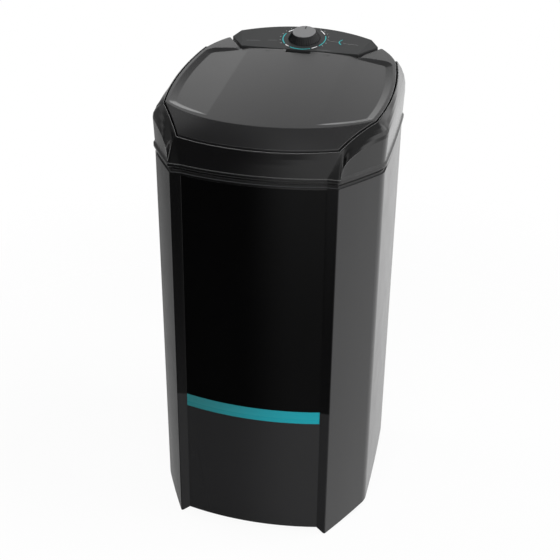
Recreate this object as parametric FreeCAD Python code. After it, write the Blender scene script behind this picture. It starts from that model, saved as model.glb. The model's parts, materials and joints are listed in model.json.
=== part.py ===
"""Top-loading semi-automatic washing machine with one tub, a hinged lid and a timer knob.

Millimetres. X runs to the right as seen from the front, Y to the back, Z up from the floor.
The origin is on the floor, in the middle of the machine's box.
"""
import FreeCAD
import Part
import math
import os

V = FreeCAD.Vector
UP = V(0, 0, 1)

# Plan of the body at the seam, from the middle outwards
DEPTH = 500.0            # over the lip of the top frame, front to back
LIP_OUT = 3.5            # how far the lip stands out from the body
FRONT_HALF = 143.0       # half width of the bowed front
FRONT_BOW = 20.5         # how far the front bows out
CORNER_HALF = 165.5      # half width over the two front corner posts
BREAK_HALF = 233.0       # half width where the slanted faces meet the sides
BREAK_BACK = 108.0       # from the front corner back to that break
SLANT_BOW = 1.5
SIDE_BOW = 2.5
REAR_HALF = 218.0
BACK_BOW = 28.0
CORNER_ROUND = 2.5
BREAK_ROUND = 45.0
REAR_ROUND = 40.0

# How much smaller the body is at the floor than at the seam
CORNER_DRAFT = 3.5
SIDE_DRAFT = 5.0
FRONT_DRAFT = 4.5
BOW_DRAFT = 3.0
POST_FORWARD = 3.5       # foot of a corner post, ahead of the front's end
BREAK_DRAFT = 10.0       # how far the slanted faces reach further back at the floor
REAR_DRAFT = 7.0

# Heights
SKIRT_GAP = 2.0          # floor to the cabinet's lower edge
CABINET_TOP = 800.0
FLANGE_T = 5.0           # tub flange, clamped in the seam
GROOVE_H = 7.0
LIP_H = 8.0
SHOULDER_RISE = 52.0     # lip to the shoulder edge
SHOULDER_OUT = 3.0       # how far that edge stands out from the body
BAND_FULL = 0.3          # fullness of the band between the shoulder and the well
BAND_STEPS = 4
SWEEP_BACK = 120.0       # length of the shoulder's sweep behind a front corner
SWEEP_POWER = 2.6        # how square that sweep is
SWEEP_BUNCH = 1.8        # how close its points lie near the corner
TOE_RISE = 11.0          # front edge above the feet of the posts
TOE_SLOPE = 18.0
SKIRT_RISE = 18.0        # lower edge of the sides above the feet of the posts

# Walls and fits
WALL = 3.0
RIM_W = 20.0             # flange round the top of the cabinet
RIM_T = 4.0
MIN_ROUND = 0.5          # least round of an inner corner
STATIONS = 13            # points along each curved stretch
POST_SHARE = 0.06        # share of the well's slanted edge that pairs with a post
LIP_EASE = 1.5
LIP_FLARE = 5.0          # soft run from the lip into the wall above
GROOVE_IN = 5.0
FLANGE_IN = 3.0
SKIN = 3.5               # top frame
HOLLOW_BACK = 14.0       # how far the frame's hollow lags behind the shoulder's sweep
PLAY = 0.3               # between pieces that only lie near each other
RUNNING = 0.05           # radial clearance of a turning shaft
SLIP = 0.02              # radial clearance of a shaft held in a hub

# Front trim
PANEL_T = 2.0
PANEL_HALF = 142.3
PANEL_LOW = 306.0
PANEL_TOP_GAP = 4.0
STRIP_H = 28.0
TRIM_GAP = 0.4
TRIM_BED = 0.1           # behind the trim

# Lid, measured along its outline
LID_GAP = 3.5            # lid to top frame
LID_FRONT_IN = 8.9       # lid corner inside the front corner
LID_FRONT_BACK = 32.0    # lid corner behind the front's ends
LID_FRONT_BOW = 38.6
LID_FRONT_RISE = 47.5    # lid's front edge above the lip
KINK_IN = 23.0
KINK_BACK = 8.0          # lid's side corner behind the break of the body
KINK_ROUND = 10.0
EAR_SIDE_IN = 14.4
EAR_SIDE_FORWARD = 94.0
EAR_HALF = 168.5
EAR_FORWARD = 47.5
LID_SIDE_BOW = 14.8
EAR_BOW = 3.3
APRON_RUN = 44.0
APRON_RISE = 38.5
APRON_BULGE = 1.5
LID_REAR_RISE = 134.4    # lid's top at its rear edge, above the lip
LID_SLOPE = 0.163
LID_CROWN = 12.0         # fall of the lid's top from its middle to its side corners
WING_HALF = 108.0        # middle of the lid's top, between the sunk wings
LID_SKIN = 3.0
DISH_SLOPE = 0.14        # fall of the sunk wings, inside the raised rim
RIDGE_BACK = 36.0        # ridge of the lid's top behind its front edge
RIM_TOP = 7.0            # width of the rim's top
RIM_FOOT = 20.0          # rim with its inner slope
RIM_DEPTH = 4.5          # rim above the wing, beside the middle of the lid
DISH_ROUND = 28.0
DISH_DIG = 3.0           # how far the slope's cutter goes on below the wing
LID_EDGE = 12.0          # skirt below the lid's front edge
LID_EDGE_SLOPE = 0.18

# Well that the lid lies in
LEDGE_DROP = 15.0        # ledge below the lid's front edge
LEDGE_SLOPE = 0.07
REAR_RIM = 25.0          # upstand behind the control console
WELL_REAR_IN = 6.5
WELL_REACH = 1.45        # how far the well runs on past the ears, over their length
WELL_DRAFT = 0.5
WELL_EDGE = 1.5          # flat edge round the well
OPENING_IN = 4.0         # ledge inside the mouth of the tub

# Control console
CONSOLE_GAP = 4.0        # lid's rear edge to the console
CONSOLE_FORWARD = 99.5   # console front, ahead of the back
CONSOLE_HALF = 125.5
CONSOLE_END_HALF = 159.0
CONSOLE_END_BACK = 50.0
CONSOLE_REAR_HALF = 143.0
CONSOLE_REAR_BACK = 61.6
CONSOLE_REAR_IN = 4.0
CONSOLE_WALL = 3.0
PANEL_SLOPE = 0.2626
FASCIA_T = 3.0
END_DROP = 8.0
CONSOLE_SCREW_X = 105.0
CONSOLE_SCREW_REAR_X = 100.0
CONSOLE_SCREW_IN = 8.0
CONSOLE_SCREW_REAR = 25.0
POST_H = 20.0

# Lid hinge
HINGE_IN = 8.0           # rod ahead of the lid's rear edge
HINGE_DOWN = 7.8
HINGE_ROD_R = 2.5
KNUCKLE_R = 4.4
NOTCH_HALF = 26.5
SIDE_KNUCKLE_X = 60.0
SIDE_KNUCKLE_W = 16.0
KNUCKLE_GAP = 0.7
HINGE_RIB = 5.0
ARM_T = 6.0
STEM_T = 4.0
ARM_DROP = 14.0          # arm below the rod, out of the lid's way
BUMPER_R = 4.0
BUMPER_X = 110.0

# Timer and knob
KNOB_BACK = 48.0         # behind the console's front edge
KNOB_R = 34.5
KNOB_TOP_R = 25.5
KNOB_H = 15.5
KNOB_CAP_T = 1.5
KNOB_LIFT = 0.5
TIMER_SIZE = 60.0
TIMER_H = 42.0
TIMER_SHAFT_R = 3.0
TIMER_BUSH_R = 7.0
TIMER_ROUND = 3.0
KNOB_RIM = 0.8
FLUTE_COUNT = 40
FLUTE_R = 2.4
FLUTE_OUT = 0.6
POINTER_W = 2.4
POINTER_L = 12.0
POINTER_T = 0.8
POINTER_IN = 1.5

# Tub
MOUTH_R = 176.0
TUB_BOTTOM_R = 160.0
TUB_FLOOR = 300.0
TUB_WALL = 3.0
TUB_FLOOR_T = 4.0
TUB_ROUND = 12.0
GASKET_T = 3.0
GASKET_W = 6.0
TUB_SET_BACK = 12.0      # tub axis behind the middle of the well

# Drive
SHAFT_R = 7.0
BUSH_T = 3.0
BUSH_L = 18.0
NECK_R = 18.0
NECK_RISE = 8.0
HOUSING_R = 24.0
HOUSING_L = 130.0
HOUSING_FLANGE_R = 50.0
HOUSING_FLANGE_T = 8.0
SEAL_T = 6.0
AGITATOR_R = 105.0
AGITATOR_T = 7.0
AGITATOR_GAP = 3.0
AGITATOR_H = 62.0
HUB_R = 30.0
HUB_TOP_R = 20.0
HUB_CAP = 9.0
NECK_CLEAR = 3.0
VANE_COUNT = 6
VANE_T = 8.0
VANE_H = 34.0
PULLEY_R = 85.0
MOTOR_PULLEY_R = 25.0
PULLEY_W = 20.0
GROOVE_DEPTH = 7.0
BELT_T = 6.0
BELT_W = 10.0
PULLEY_DROP = 5.0        # below the motor's nose
PULLEY_WEB = 7.0
RIM_METAL = 5.0
GROOVE_FLARE = 1.5

# Motor and what carries it
MOTOR_X = 110.0
MOTOR_BACK = 110.0       # behind the tub's axis
MOTOR_R = 58.0
MOTOR_H = 112.0
MOTOR_SHAFT_R = 6.0
MOTOR_ROUND = 8.0
NOSE_R = 18.0
NOSE_H = 8.0
WIRE_BOX = 14.0
WIRE_BOX_OUT = 8.0
BOSS_DROP = 16.0
BOSS_R = 9.0
BOSS_RING = 62.0
BRACKET_T = 3.0
BRACKET_W = 44.0
BUFFER_H = 6.0
BUFFER_R = 9.0
BUFFER_RING = 42.0
CAPACITOR_R = 20.0
CAPACITOR_H = 82.0
CLIP_T = 2.0
CLIP_H = 18.0
CLIP_FLANGE = 12.0
CAPACITOR_IN = 103.0     # inside the break of the body
CAPACITOR_Y = -60.0

# Drain, lint filter and wiring
DRAIN_X = 128.0
DRAIN_BORE = 13.0
DRAIN_WALL = 3.0
DRAIN_STUB = 26.0
DRAIN_BEND = 55.0
DRAIN_HEIGHT = 90.0
SPIGOT_R = 24.0
SPIGOT_FLANGE = 4.0
STRAINER_R = 18.0
STRAINER_T = 2.5
STRAINER_RING = 6.0
STRAINER_HOLE = 1.6
FILTER_W = 90.0
FILTER_T = 14.0
FILTER_H = 170.0
FILTER_RISE = 60.0
FILTER_BACK = 152.0      # cassette's back, behind the tub's axis
FILTER_GRIP = 20.0
GRIP_H = 12.0
SLOT_ROWS = 12
SLOT_EDGE = 8.0
RAIL_W = 7.0
RAIL_LIP = 3.0
HARNESS_R = 5.0
HARNESS_BEND = 30.0
GLAND_R = 9.0
GLAND_BORE = 4.0
GLAND_FLANGE = 13.0
GLAND_OUT = 10.0
GLAND_X = 150.0
GLAND_Z = 70.0

# Base
BASE_LIFT = 26.0
BASE_T = 4.0
FOOT_R = 16.0
FOOT_TOP = 12.0
FOOT_ROUND = 2.0
FEET = [(128.0, -150.0), (170.0, 150.0)]
LUG_W = 24.0
LUG_H = 24.0
LUG_T = 6.0
BASE_SCREW_X = [-90.0, 90.0]
VENT_COUNT = 6
VENT_PITCH = 16.0
VENT_HALF = 60.0

# Screws
SCREW_R = 2.0
SCREW_HEAD_R = 4.2
SCREW_HEAD_H = 3.0
SCREW_SLOT = 0.8
SLOT_REACH = 2.9
SLOT_DEPTH = 1.6
SCREW_BITE = 8.0
SCREW_IN = 12.0
SCREW_FRONT_X = 95.0
SCREW_SIDE_Y = [-30.0, 150.0]

# Places that follow from the sizes above
FRONT_Y = -(DEPTH / 2 - LIP_OUT - FRONT_BOW)
BACK_Y = DEPTH / 2 - LIP_OUT
REAR_Y = BACK_Y - BACK_BOW
FLANGE_TOP = CABINET_TOP + FLANGE_T
LIP_BOTTOM = FLANGE_TOP + GROOVE_H
LIP_TOP = LIP_BOTTOM + LIP_H
SHOULDER_Z = LIP_TOP + SHOULDER_RISE
CONSOLE_Y = BACK_Y - CONSOLE_FORWARD
LID_REAR_Y = CONSOLE_Y - CONSOLE_GAP
LID_FRONT_Y = FRONT_Y + LID_FRONT_BACK
LID_FRONT_Z = LIP_TOP + LID_FRONT_RISE
LID_REAR_Z = LIP_TOP + LID_REAR_RISE
WELL_FRONT_Y = LID_FRONT_Y - LID_FRONT_BOW - LID_GAP
LEDGE_Z = LID_FRONT_Z - LEDGE_DROP
KINK_Y = FRONT_Y + BREAK_BACK + KINK_BACK
TUB_Y = (WELL_FRONT_Y + CONSOLE_Y) / 2 + TUB_SET_BACK
FASCIA_Z = LID_REAR_Z
HINGE_Y = LID_REAR_Y - HINGE_IN
HINGE_Z = LID_REAR_Z - HINGE_IN * LID_SLOPE - HINGE_DOWN
TUB_UNDER = TUB_FLOOR - TUB_FLOOR_T
BRACKET_TOP = TUB_UNDER - BOSS_DROP
MOTOR_TOP = BRACKET_TOP - BRACKET_T - BUFFER_H
MOTOR_Y = TUB_Y + MOTOR_BACK
HOUSING_BOTTOM = TUB_UNDER - HOUSING_L
PULLEY_TOP = MOTOR_TOP - MOTOR_H - NOSE_H - PULLEY_DROP
BELT_MID = PULLEY_TOP - PULLEY_W / 2
BASE_TOP = BASE_LIFT + BASE_T
CAPACITOR_X = BREAK_HALF - CAPACITOR_IN
FILTER_Z = TUB_FLOOR + FILTER_RISE
PANEL_UP = V(0, -PANEL_SLOPE, 1).normalize()
LEDGE_UP = V(0, -LEDGE_SLOPE, 1).normalize()
FASCIA_TRUE = FASCIA_T * PANEL_UP.z


def mirrored(point):
    return V(-point.x, point.y, point.z)


class Side:
    """One side of an outline seen from above, straight or bowed outwards."""

    def __init__(self, start, end, bow, inset=0.0):
        along = end - start
        self.out = V(along.y, -along.x, 0).normalize()
        self.along = V(along).normalize()
        self.start = start - self.out * inset
        self.centre = None
        if bow:
            half = along.Length / 2
            radius = (half ** 2 + bow ** 2) / (2 * bow)
            self.centre = start + along / 2 + self.out * (bow - radius)
            self.radius = radius - inset

    def outward(self, point):
        """Direction out of the outline, at a point near this side."""
        if self.centre is None:
            return self.out
        return (point - self.centre).normalize()

    def middle(self, start, end):
        """Point half way along this side between two of its points."""
        between = (start + end) / 2
        if self.centre is None:
            return between
        return self.centre + (between - self.centre).normalize() * self.radius


def crossings(a, b):
    """Points where two sides, drawn on past their ends, cross."""
    if a.centre is None and b.centre is None:
        gap = b.start - a.start
        turn = a.along.cross(b.along).z
        return [a.start + a.along * (gap.cross(b.along).z / turn)]
    if b.centre is None:
        return crossings(b, a)
    if a.centre is None:
        foot = a.start + a.along * (b.centre - a.start).dot(a.along)
        reach = math.sqrt(b.radius ** 2 - (foot - b.centre).Length ** 2)
        return [foot + a.along * reach, foot - a.along * reach]
    apart = b.centre - a.centre
    gap = apart.Length
    share = (gap ** 2 + a.radius ** 2 - b.radius ** 2) / (2 * gap)
    foot = a.centre + apart * (share / gap)
    reach = math.sqrt(a.radius ** 2 - share ** 2)
    across = V(-apart.y, apart.x, 0).normalize() * reach
    return [foot + across, foot - across]


def crossing(a, b, near):
    return min(crossings(a, b), key=lambda point: (point - near).Length)


class Outline:
    """Closed outline, the same left and right. It holds the right-hand corners from front
    to back, how far each side bows out, and the round of each corner."""

    def __init__(self, corners, bows, rounds):
        self.corners = [V(x, y, 0) for x, y in corners]
        self.bows = bows
        self.rounds = rounds

    def sides(self, inset):
        ring = [mirrored(self.corners[0])] + self.corners + [mirrored(self.corners[-1])]
        return [Side(a, b, bow, inset) for a, b, bow in zip(ring, ring[1:], self.bows)]

    def stretches(self, inset=0.0):
        """Front, right-hand stretches and back, each as (start, middle, end)."""
        sides = self.sides(inset)
        turns = []
        for index, (corner, radius) in enumerate(zip(self.corners, self.rounds)):
            before, after = sides[index], sides[index + 1]
            if radius:
                reach = max(radius, inset + MIN_ROUND)
                deep = self.sides(reach)
                centre = crossing(deep[index], deep[index + 1], corner)
                first = before.outward(centre)
                last = after.outward(centre)
                outs = [first, (first + last).normalize(), last]
                turns.append([centre + out * (reach - inset) for out in outs])
            else:
                point = crossing(before, after, corner)
                turns.append([point, point, point])
        right = []
        for index, turn in enumerate(turns):
            if self.rounds[index] > 0:
                right.append(tuple(turn))
            if index + 1 < len(turns):
                start, end = turn[2], turns[index + 1][0]
                right.append((start, sides[index + 1].middle(start, end), end))
        first, last = turns[0][0], turns[-1][2]
        front = (mirrored(first), sides[0].middle(mirrored(first), first), first)
        back = (last, sides[-1].middle(last, mirrored(last)), mirrored(last))
        return front, right, back


def flat_edge(stretch, z):
    start, middle, end = [V(p.x, p.y, z) for p in stretch]
    bow = (middle - (start + end) / 2).Length
    if bow < 1e-6:
        return Part.LineSegment(start, end).toShape()
    return Part.Arc(start, middle, end).toShape()


def flat_wire(outline, inset, z):
    """The outline as a flat wire at one height, drawn in by inset."""
    front, right, back = outline.stretches(inset)
    left = [tuple(mirrored(p) for p in reversed(s)) for s in reversed(right)]
    return Part.Wire([flat_edge(s, z) for s in [front] + right + [back] + left])


def prism(outline, inset, z_low, z_high):
    face = Part.Face(flat_wire(outline, inset, z_low))
    return face.extrude(V(0, 0, z_high - z_low))


def lifted_rows(front, right, back, height, bunch=1.0):
    """Rows of points along flat stretches, all round, with a height given at each point."""
    def points(stretch):
        edge = flat_edge(stretch, 0)
        low, high = edge.ParameterRange
        shares = [(i / (STATIONS - 1)) ** bunch for i in range(STATIONS)]
        flat = [edge.valueAt(low + (high - low) * share) for share in shares]
        return [V(p.x, p.y, height(p.x, p.y)) for p in flat]

    rows = [points(s) for s in right]
    left = [[mirrored(p) for p in reversed(row)] for row in reversed(rows)]
    return [points(front)] + rows + [points(back)] + left


def closed_wire(rows):
    """One closed wire of smooth curves, a curve through each row."""
    def curve(through):
        spline = Part.BSplineCurve()
        spline.interpolate(through)
        return spline.toShape()

    return Part.Wire([curve(row) for row in rows])


def lifted_wire(front, right, back, height, bunch=1.0):
    return closed_wire(lifted_rows(front, right, back, height, bunch))


def loft(wires):
    return Part.makeLoft(wires, True, True)


def disc(radius, z_low, z_high, x=0.0, y=0.0):
    return Part.makeCylinder(radius, z_high - z_low, V(x, y, z_low))


def tube(outer, inner, z_low, z_high, x=0.0, y=0.0):
    return disc(outer, z_low, z_high, x, y).cut(disc(inner, z_low, z_high, x, y))


def block(x_low, x_high, y_low, y_high, z_low, z_high):
    return Part.makeBox(x_high - x_low, y_high - y_low, z_high - z_low, V(x_low, y_low, z_low))


def space_above(point, normal):
    """A block large enough to trim any piece, lying on a slanted plane."""
    size = 4 * DEPTH
    box = Part.makeBox(2 * size, 2 * size, size, V(-size, -size, 0))
    box.Placement = FreeCAD.Placement(point, FreeCAD.Rotation(UP, normal))
    return box


def joined(shapes):
    """Fuse pieces into one clean solid."""
    return shapes[0].fuse(shapes[1:]).removeSplitter()


def both_sides(shape):
    return [shape, shape.mirror(V(0, 0, 0), V(1, 0, 0))]


def body_plan(z):
    """Outline of the body at a height, between the floor and the seam."""
    rise = (z - SKIRT_GAP) / (CABINET_TOP - SKIRT_GAP)
    short = 1 - rise
    front = FRONT_Y + FRONT_DRAFT * short
    corner = front - POST_FORWARD * short
    corners = [
        (FRONT_HALF, front),
        (CORNER_HALF - CORNER_DRAFT * short, corner),
        (BREAK_HALF - SIDE_DRAFT * short, FRONT_Y + BREAK_BACK + BREAK_DRAFT * short),
        (REAR_HALF - SIDE_DRAFT * short, REAR_Y - REAR_DRAFT * short),
    ]
    bows = [FRONT_BOW - BOW_DRAFT * short, 0.0, SLANT_BOW, SIDE_BOW, BACK_BOW]
    return Outline(corners, bows, [0.0, CORNER_ROUND, BREAK_ROUND, REAR_ROUND])


SEAM_PLAN = body_plan(CABINET_TOP)


def body_block(inset, z_low, z_high):
    """Solid block of the body between two heights, drawn in by inset."""
    return loft([flat_wire(body_plan(z), inset, z) for z in (z_low, z_high)])


def front_slab(depth, half, z_low, z_high):
    """Outer layer of the bowed front, between two heights."""
    inner = body_block(depth, SKIRT_GAP, CABINET_TOP)
    outer = body_block(0.0, SKIRT_GAP, CABINET_TOP)
    window = block(-half, half, -DEPTH, 0, z_low, z_high)
    return outer.cut(inner).common(window)


def lid_corners():
    return [
        (CORNER_HALF - LID_FRONT_IN, LID_FRONT_Y),
        (BREAK_HALF - KINK_IN, KINK_Y),
        (REAR_HALF - EAR_SIDE_IN, BACK_Y - EAR_SIDE_FORWARD),
        (EAR_HALF, BACK_Y - EAR_FORWARD),
    ]


def console_plan():
    corners = [
        (CONSOLE_HALF, CONSOLE_Y),
        (CONSOLE_END_HALF, CONSOLE_Y + CONSOLE_END_BACK),
        (CONSOLE_REAR_HALF, CONSOLE_Y + CONSOLE_REAR_BACK),
    ]
    rear_bow = BACK_Y - CONSOLE_REAR_IN - (CONSOLE_Y + CONSOLE_REAR_BACK)
    return Outline(corners, [0.0, 0.0, 0.0, rear_bow], [0.0, 0.0, 0.0])


def lid_plan():
    """Outline of the lid: its ears reach back past both ends of the console."""
    end = V(CONSOLE_END_HALF - CONSOLE_HALF, CONSOLE_END_BACK, 0).normalize()
    beside = V(CONSOLE_HALF, CONSOLE_Y, 0) + V(end.y, -end.x, 0) * CONSOLE_GAP
    reach = (BACK_Y - EAR_FORWARD - beside.y) / end.y
    tip = beside + end * reach
    corner = beside + end * ((LID_REAR_Y - beside.y) / end.y)
    corners = lid_corners() + [(tip.x, tip.y), (corner.x, corner.y)]
    bows = [LID_FRONT_BOW, 0.0, LID_SIDE_BOW, EAR_BOW, 0.0, 0.0, 0.0]
    return Outline(corners, bows, [0.0, KINK_ROUND, 0.0, 0.0, 0.0, 0.0])


def well_plan():
    """Outline of the well for the lid and the console."""
    corners = lid_corners()
    side, tip = [V(x, y, 0) for x, y in corners[2:]]
    rear = side + (tip - side) * WELL_REACH
    corners[3] = (rear.x, rear.y)
    rear_bow = BACK_Y - WELL_REAR_IN - rear.y
    bows = [LID_FRONT_BOW, 0.0, LID_SIDE_BOW, EAR_BOW, rear_bow]
    return Outline(corners, bows, [0.0, KINK_ROUND, 0.0, 0.0])


def apron_arc():
    """Lid front in section: centre line, foot radius, and the middle and top of its arc."""
    half = CORNER_HALF - LID_FRONT_IN
    foot_r = (half ** 2 + LID_FRONT_BOW ** 2) / (2 * LID_FRONT_BOW)
    centre_y = LID_FRONT_Y - LID_FRONT_BOW + foot_r
    length = math.hypot(APRON_RUN, APRON_RISE)
    middle = (foot_r - APRON_RUN / 2 + APRON_BULGE * APRON_RISE / length,
              LID_FRONT_Z + APRON_RISE / 2 + APRON_BULGE * APRON_RUN / length)
    top = (foot_r - APRON_RUN, LID_FRONT_Z + APRON_RISE)
    return centre_y, foot_r, middle, top


def apron_height(x, y):
    centre_y, foot_r, middle, top = apron_arc()
    radius = math.hypot(x, y - centre_y)
    stations = [(foot_r, LID_FRONT_Z), middle, top]
    (r0, z0), (r1, z1), (r2, z2) = stations
    first = z0 * (radius - r1) * (radius - r2) / ((r0 - r1) * (r0 - r2))
    second = z1 * (radius - r0) * (radius - r2) / ((r1 - r0) * (r1 - r2))
    third = z2 * (radius - r0) * (radius - r1) / ((r2 - r0) * (r2 - r1))
    return first + second + third


def crown_radius():
    half = BREAK_HALF - KINK_IN
    return (half ** 2 + LID_CROWN ** 2) / (2 * LID_CROWN)


def crown_fall(x):
    fall = crown_radius() - math.sqrt(crown_radius() ** 2 - x ** 2)
    return fall * math.hypot(1, LID_SLOPE)


def roof_height(x, y):
    """Top of the lid: crowned across, and rising to the back."""
    return LID_REAR_Z + LID_SLOPE * (y - LID_REAR_Y) - crown_fall(x)


def above_roof(lift):
    """Everything above the lid's top, raised by lift."""
    along = V(0, 1, LID_SLOPE).normalize()
    normal = V(0, -LID_SLOPE, 1).normalize()
    top = V(0, LID_REAR_Y, LID_REAR_Z + lift)
    centre = top - normal * crown_radius()
    log = Part.makeCylinder(crown_radius(), 4 * DEPTH, centre - along * 2 * DEPTH, along)
    return space_above(top - normal * DEPTH, normal).cut(log)


def ledge_height(x, y):
    return LEDGE_Z + LEDGE_SLOPE * (y - WELL_FRONT_Y)


def well_height(x, y):
    """Edge of the well, level with the lid and low behind it."""
    side_y = BACK_Y - EAR_SIDE_FORWARD
    rear_y = CONSOLE_Y + CONSOLE_REAR_BACK
    flush = roof_height(x, min(y, side_y))
    if y < KINK_Y + APRON_RUN / 2:
        flush = min(flush, apron_height(x, y))
    share = min(1.0, max(0.0, (y - side_y) / (rear_y - side_y)))
    ease = share * share * (3 - 2 * share)
    return flush + (ledge_height(x, y) + REAR_RIM - flush) * ease


def shoulder_height(x, y):
    """Shoulder edge: level along the sides, swept down to the lip at the front corners."""
    share = min(1.0, max(0.0, (y - FRONT_Y) / SWEEP_BACK))
    return LIP_TOP + SHOULDER_RISE * (1 - (1 - share) ** SWEEP_POWER) ** (1 / SWEEP_POWER)


def cabinet_shell():
    """Body: thin walls with a flange round the top, a recess for the front trim and a raised toe."""
    shell = body_block(0.0, SKIRT_GAP, CABINET_TOP)
    shell = shell.cut(body_block(WALL, SKIRT_GAP - WALL, CABINET_TOP - RIM_T))
    shell = shell.cut(prism(SEAM_PLAN, RIM_W, CABINET_TOP - 2 * RIM_T, CABINET_TOP + RIM_T))
    low = PANEL_LOW - STRIP_H - TRIM_GAP
    high = CABINET_TOP - PANEL_TOP_GAP + TRIM_GAP
    shell = shell.cut(front_slab(PANEL_T + TRIM_BED, PANEL_HALF + TRIM_GAP, low, high))
    toe = [(FRONT_HALF + TOE_SLOPE, 0.0), (FRONT_HALF, SKIRT_GAP + TOE_RISE)]
    ring = toe + [(-x, z) for x, z in reversed(toe)]
    face = Part.Face(Part.makePolygon([V(x, -DEPTH, z) for x, z in ring + ring[:1]]))
    shell = shell.cut(face.extrude(V(0, DEPTH + FRONT_Y + LID_FRONT_BACK, 0)))
    corner, side = body_plan(SKIRT_GAP).corners[1:3]
    edge = SKIRT_GAP + SKIRT_RISE
    ring = [(corner.y, SKIRT_GAP), (side.y, edge), (DEPTH, edge), (DEPTH, 0.0), (corner.y, 0.0)]
    face = Part.Face(Part.makePolygon([V(-DEPTH, y, z) for y, z in ring + ring[:1]]))
    shell = shell.cut(face.extrude(V(2 * DEPTH, 0, 0)))
    cuts = [disc(SCREW_R + PLAY, CABINET_TOP - 2 * RIM_T, CABINET_TOP + 1, x, y) for x, y in seam_screws()]
    cuts.append(rod_back(-DRAIN_X, DRAIN_HEIGHT, DRAIN_BORE + DRAIN_WALL + PLAY, 0, DEPTH))
    cuts.append(rod_back(GLAND_X, GLAND_Z, GLAND_R + PLAY, 0, DEPTH))
    for x in BASE_SCREW_X:
        cuts.append(rod_back(x, BASE_TOP + LUG_H / 2, SCREW_R + PLAY, 0, DEPTH))
    return shell.cut(cuts)


def rod_back(x, z, radius, y_low, y_high):
    """Round bar along Y."""
    return Part.makeCylinder(radius, y_high - y_low, V(x, y_low, z), V(0, 1, 0))


def back_wall(x, z, inset=0.0):
    """Y of the cabinet's back wall at a place on it."""
    side = body_plan(z).sides(inset)[-1]
    return side.centre.y + math.sqrt(side.radius ** 2 - x ** 2)


def seam_screws():
    """Places of the screws that clamp cabinet, tub flange and top frame."""
    sides = SEAM_PLAN.sides(SCREW_IN)
    front, side, back = sides[0], sides[3], sides[4]
    places = []
    places.append((SCREW_FRONT_X, front.centre.y - math.sqrt(front.radius ** 2 - SCREW_FRONT_X ** 2)))
    for y in SCREW_SIDE_Y:
        places.append((side.centre.x + math.sqrt(side.radius ** 2 - (y - side.centre.y) ** 2), y))
    places.append((SCREW_FRONT_X, back.centre.y + math.sqrt(back.radius ** 2 - SCREW_FRONT_X ** 2)))
    return places + [(-x, y) for x, y in places]


def screw(grip, bite):
    """Pan-head screw that points up, with its head's seat at the origin."""
    head = Part.makeCylinder(SCREW_HEAD_R, SCREW_HEAD_H, V(0, 0, -SCREW_HEAD_H))
    head = head.makeFillet(SCREW_HEAD_H / 3, [head.Edges[2]])
    slot = block(-SLOT_REACH, SLOT_REACH, -SCREW_SLOT / 2, SCREW_SLOT / 2, -SCREW_HEAD_H, SLOT_DEPTH - SCREW_HEAD_H)
    cross = slot.fuse(slot.rotated(V(0, 0, 0), UP, 90))
    shank = Part.makeCylinder(SCREW_R, grip + bite)
    return head.cut(cross).fuse(shank)


def screws(places, normal, grip, bite):
    group = []
    for place in places:
        piece = screw(grip, bite)
        piece.Placement = FreeCAD.Placement(place, FreeCAD.Rotation(UP, normal))
        group.append(piece)
    return Part.makeCompound(group)


def pilot(place, normal, bite):
    """Hole that a screw bites into."""
    hole = Part.makeCylinder(SCREW_R + SLIP, bite + PLAY)
    hole.Placement = FreeCAD.Placement(place, FreeCAD.Rotation(UP, normal))
    return hole


def front_panel():
    return front_slab(PANEL_T, PANEL_HALF, PANEL_LOW + TRIM_GAP, CABINET_TOP - PANEL_TOP_GAP)


def accent_strip():
    return front_slab(PANEL_T, PANEL_HALF, PANEL_LOW - STRIP_H, PANEL_LOW)


def split_first(right):
    """Well stretches with the first one cut in three, to pair with the post and its round."""
    start, middle, end = right[0]
    marks = [start, start + (end - start) * POST_SHARE, start + (end - start) * 2 * POST_SHARE, end]
    parts = [(a, (a + b) / 2, b) for a, b in zip(marks, marks[1:])]
    return parts + right[1:]


def wall_rows(inset, height, bunch=1.0):
    front, right, back = SEAM_PLAN.stretches(inset)
    return lifted_rows(front, right, back, height, bunch)


def well_rows(inset, height):
    front, right, back = well_plan().stretches(inset)
    return lifted_rows(front, split_first(right), back, height)


def wall_loop(inset, height, bunch=1.0):
    return closed_wire(wall_rows(inset, height, bunch))


def well_loop(inset, height):
    return closed_wire(well_rows(inset, height))


def band_point(low, high, share):
    """Point on the full band above the shoulder, which is flat at the front corners."""
    ease = min(1.0, max(0.0, (low.y - FRONT_Y) / SWEEP_BACK))
    across = share - 4 * BAND_FULL * ease * share * (1 - share)
    return V(low.x + (high.x - low.x) * across, low.y + (high.y - low.y) * across,
             low.z + (high.z - low.z) * share)


def band_loops():
    """Loops from the shoulder edge in and up to the edge of the well."""
    lows = wall_rows(-SHOULDER_OUT, shoulder_height, SWEEP_BUNCH)
    highs = well_rows(-LID_GAP - WELL_EDGE, well_height)
    loops = []
    for step in range(BAND_STEPS + 1):
        share = step / BAND_STEPS
        pairs = [zip(low, high) for low, high in zip(lows, highs)]
        loops.append(closed_wire([[band_point(a, b, share) for a, b in pair] for pair in pairs]))
    return loops


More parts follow.
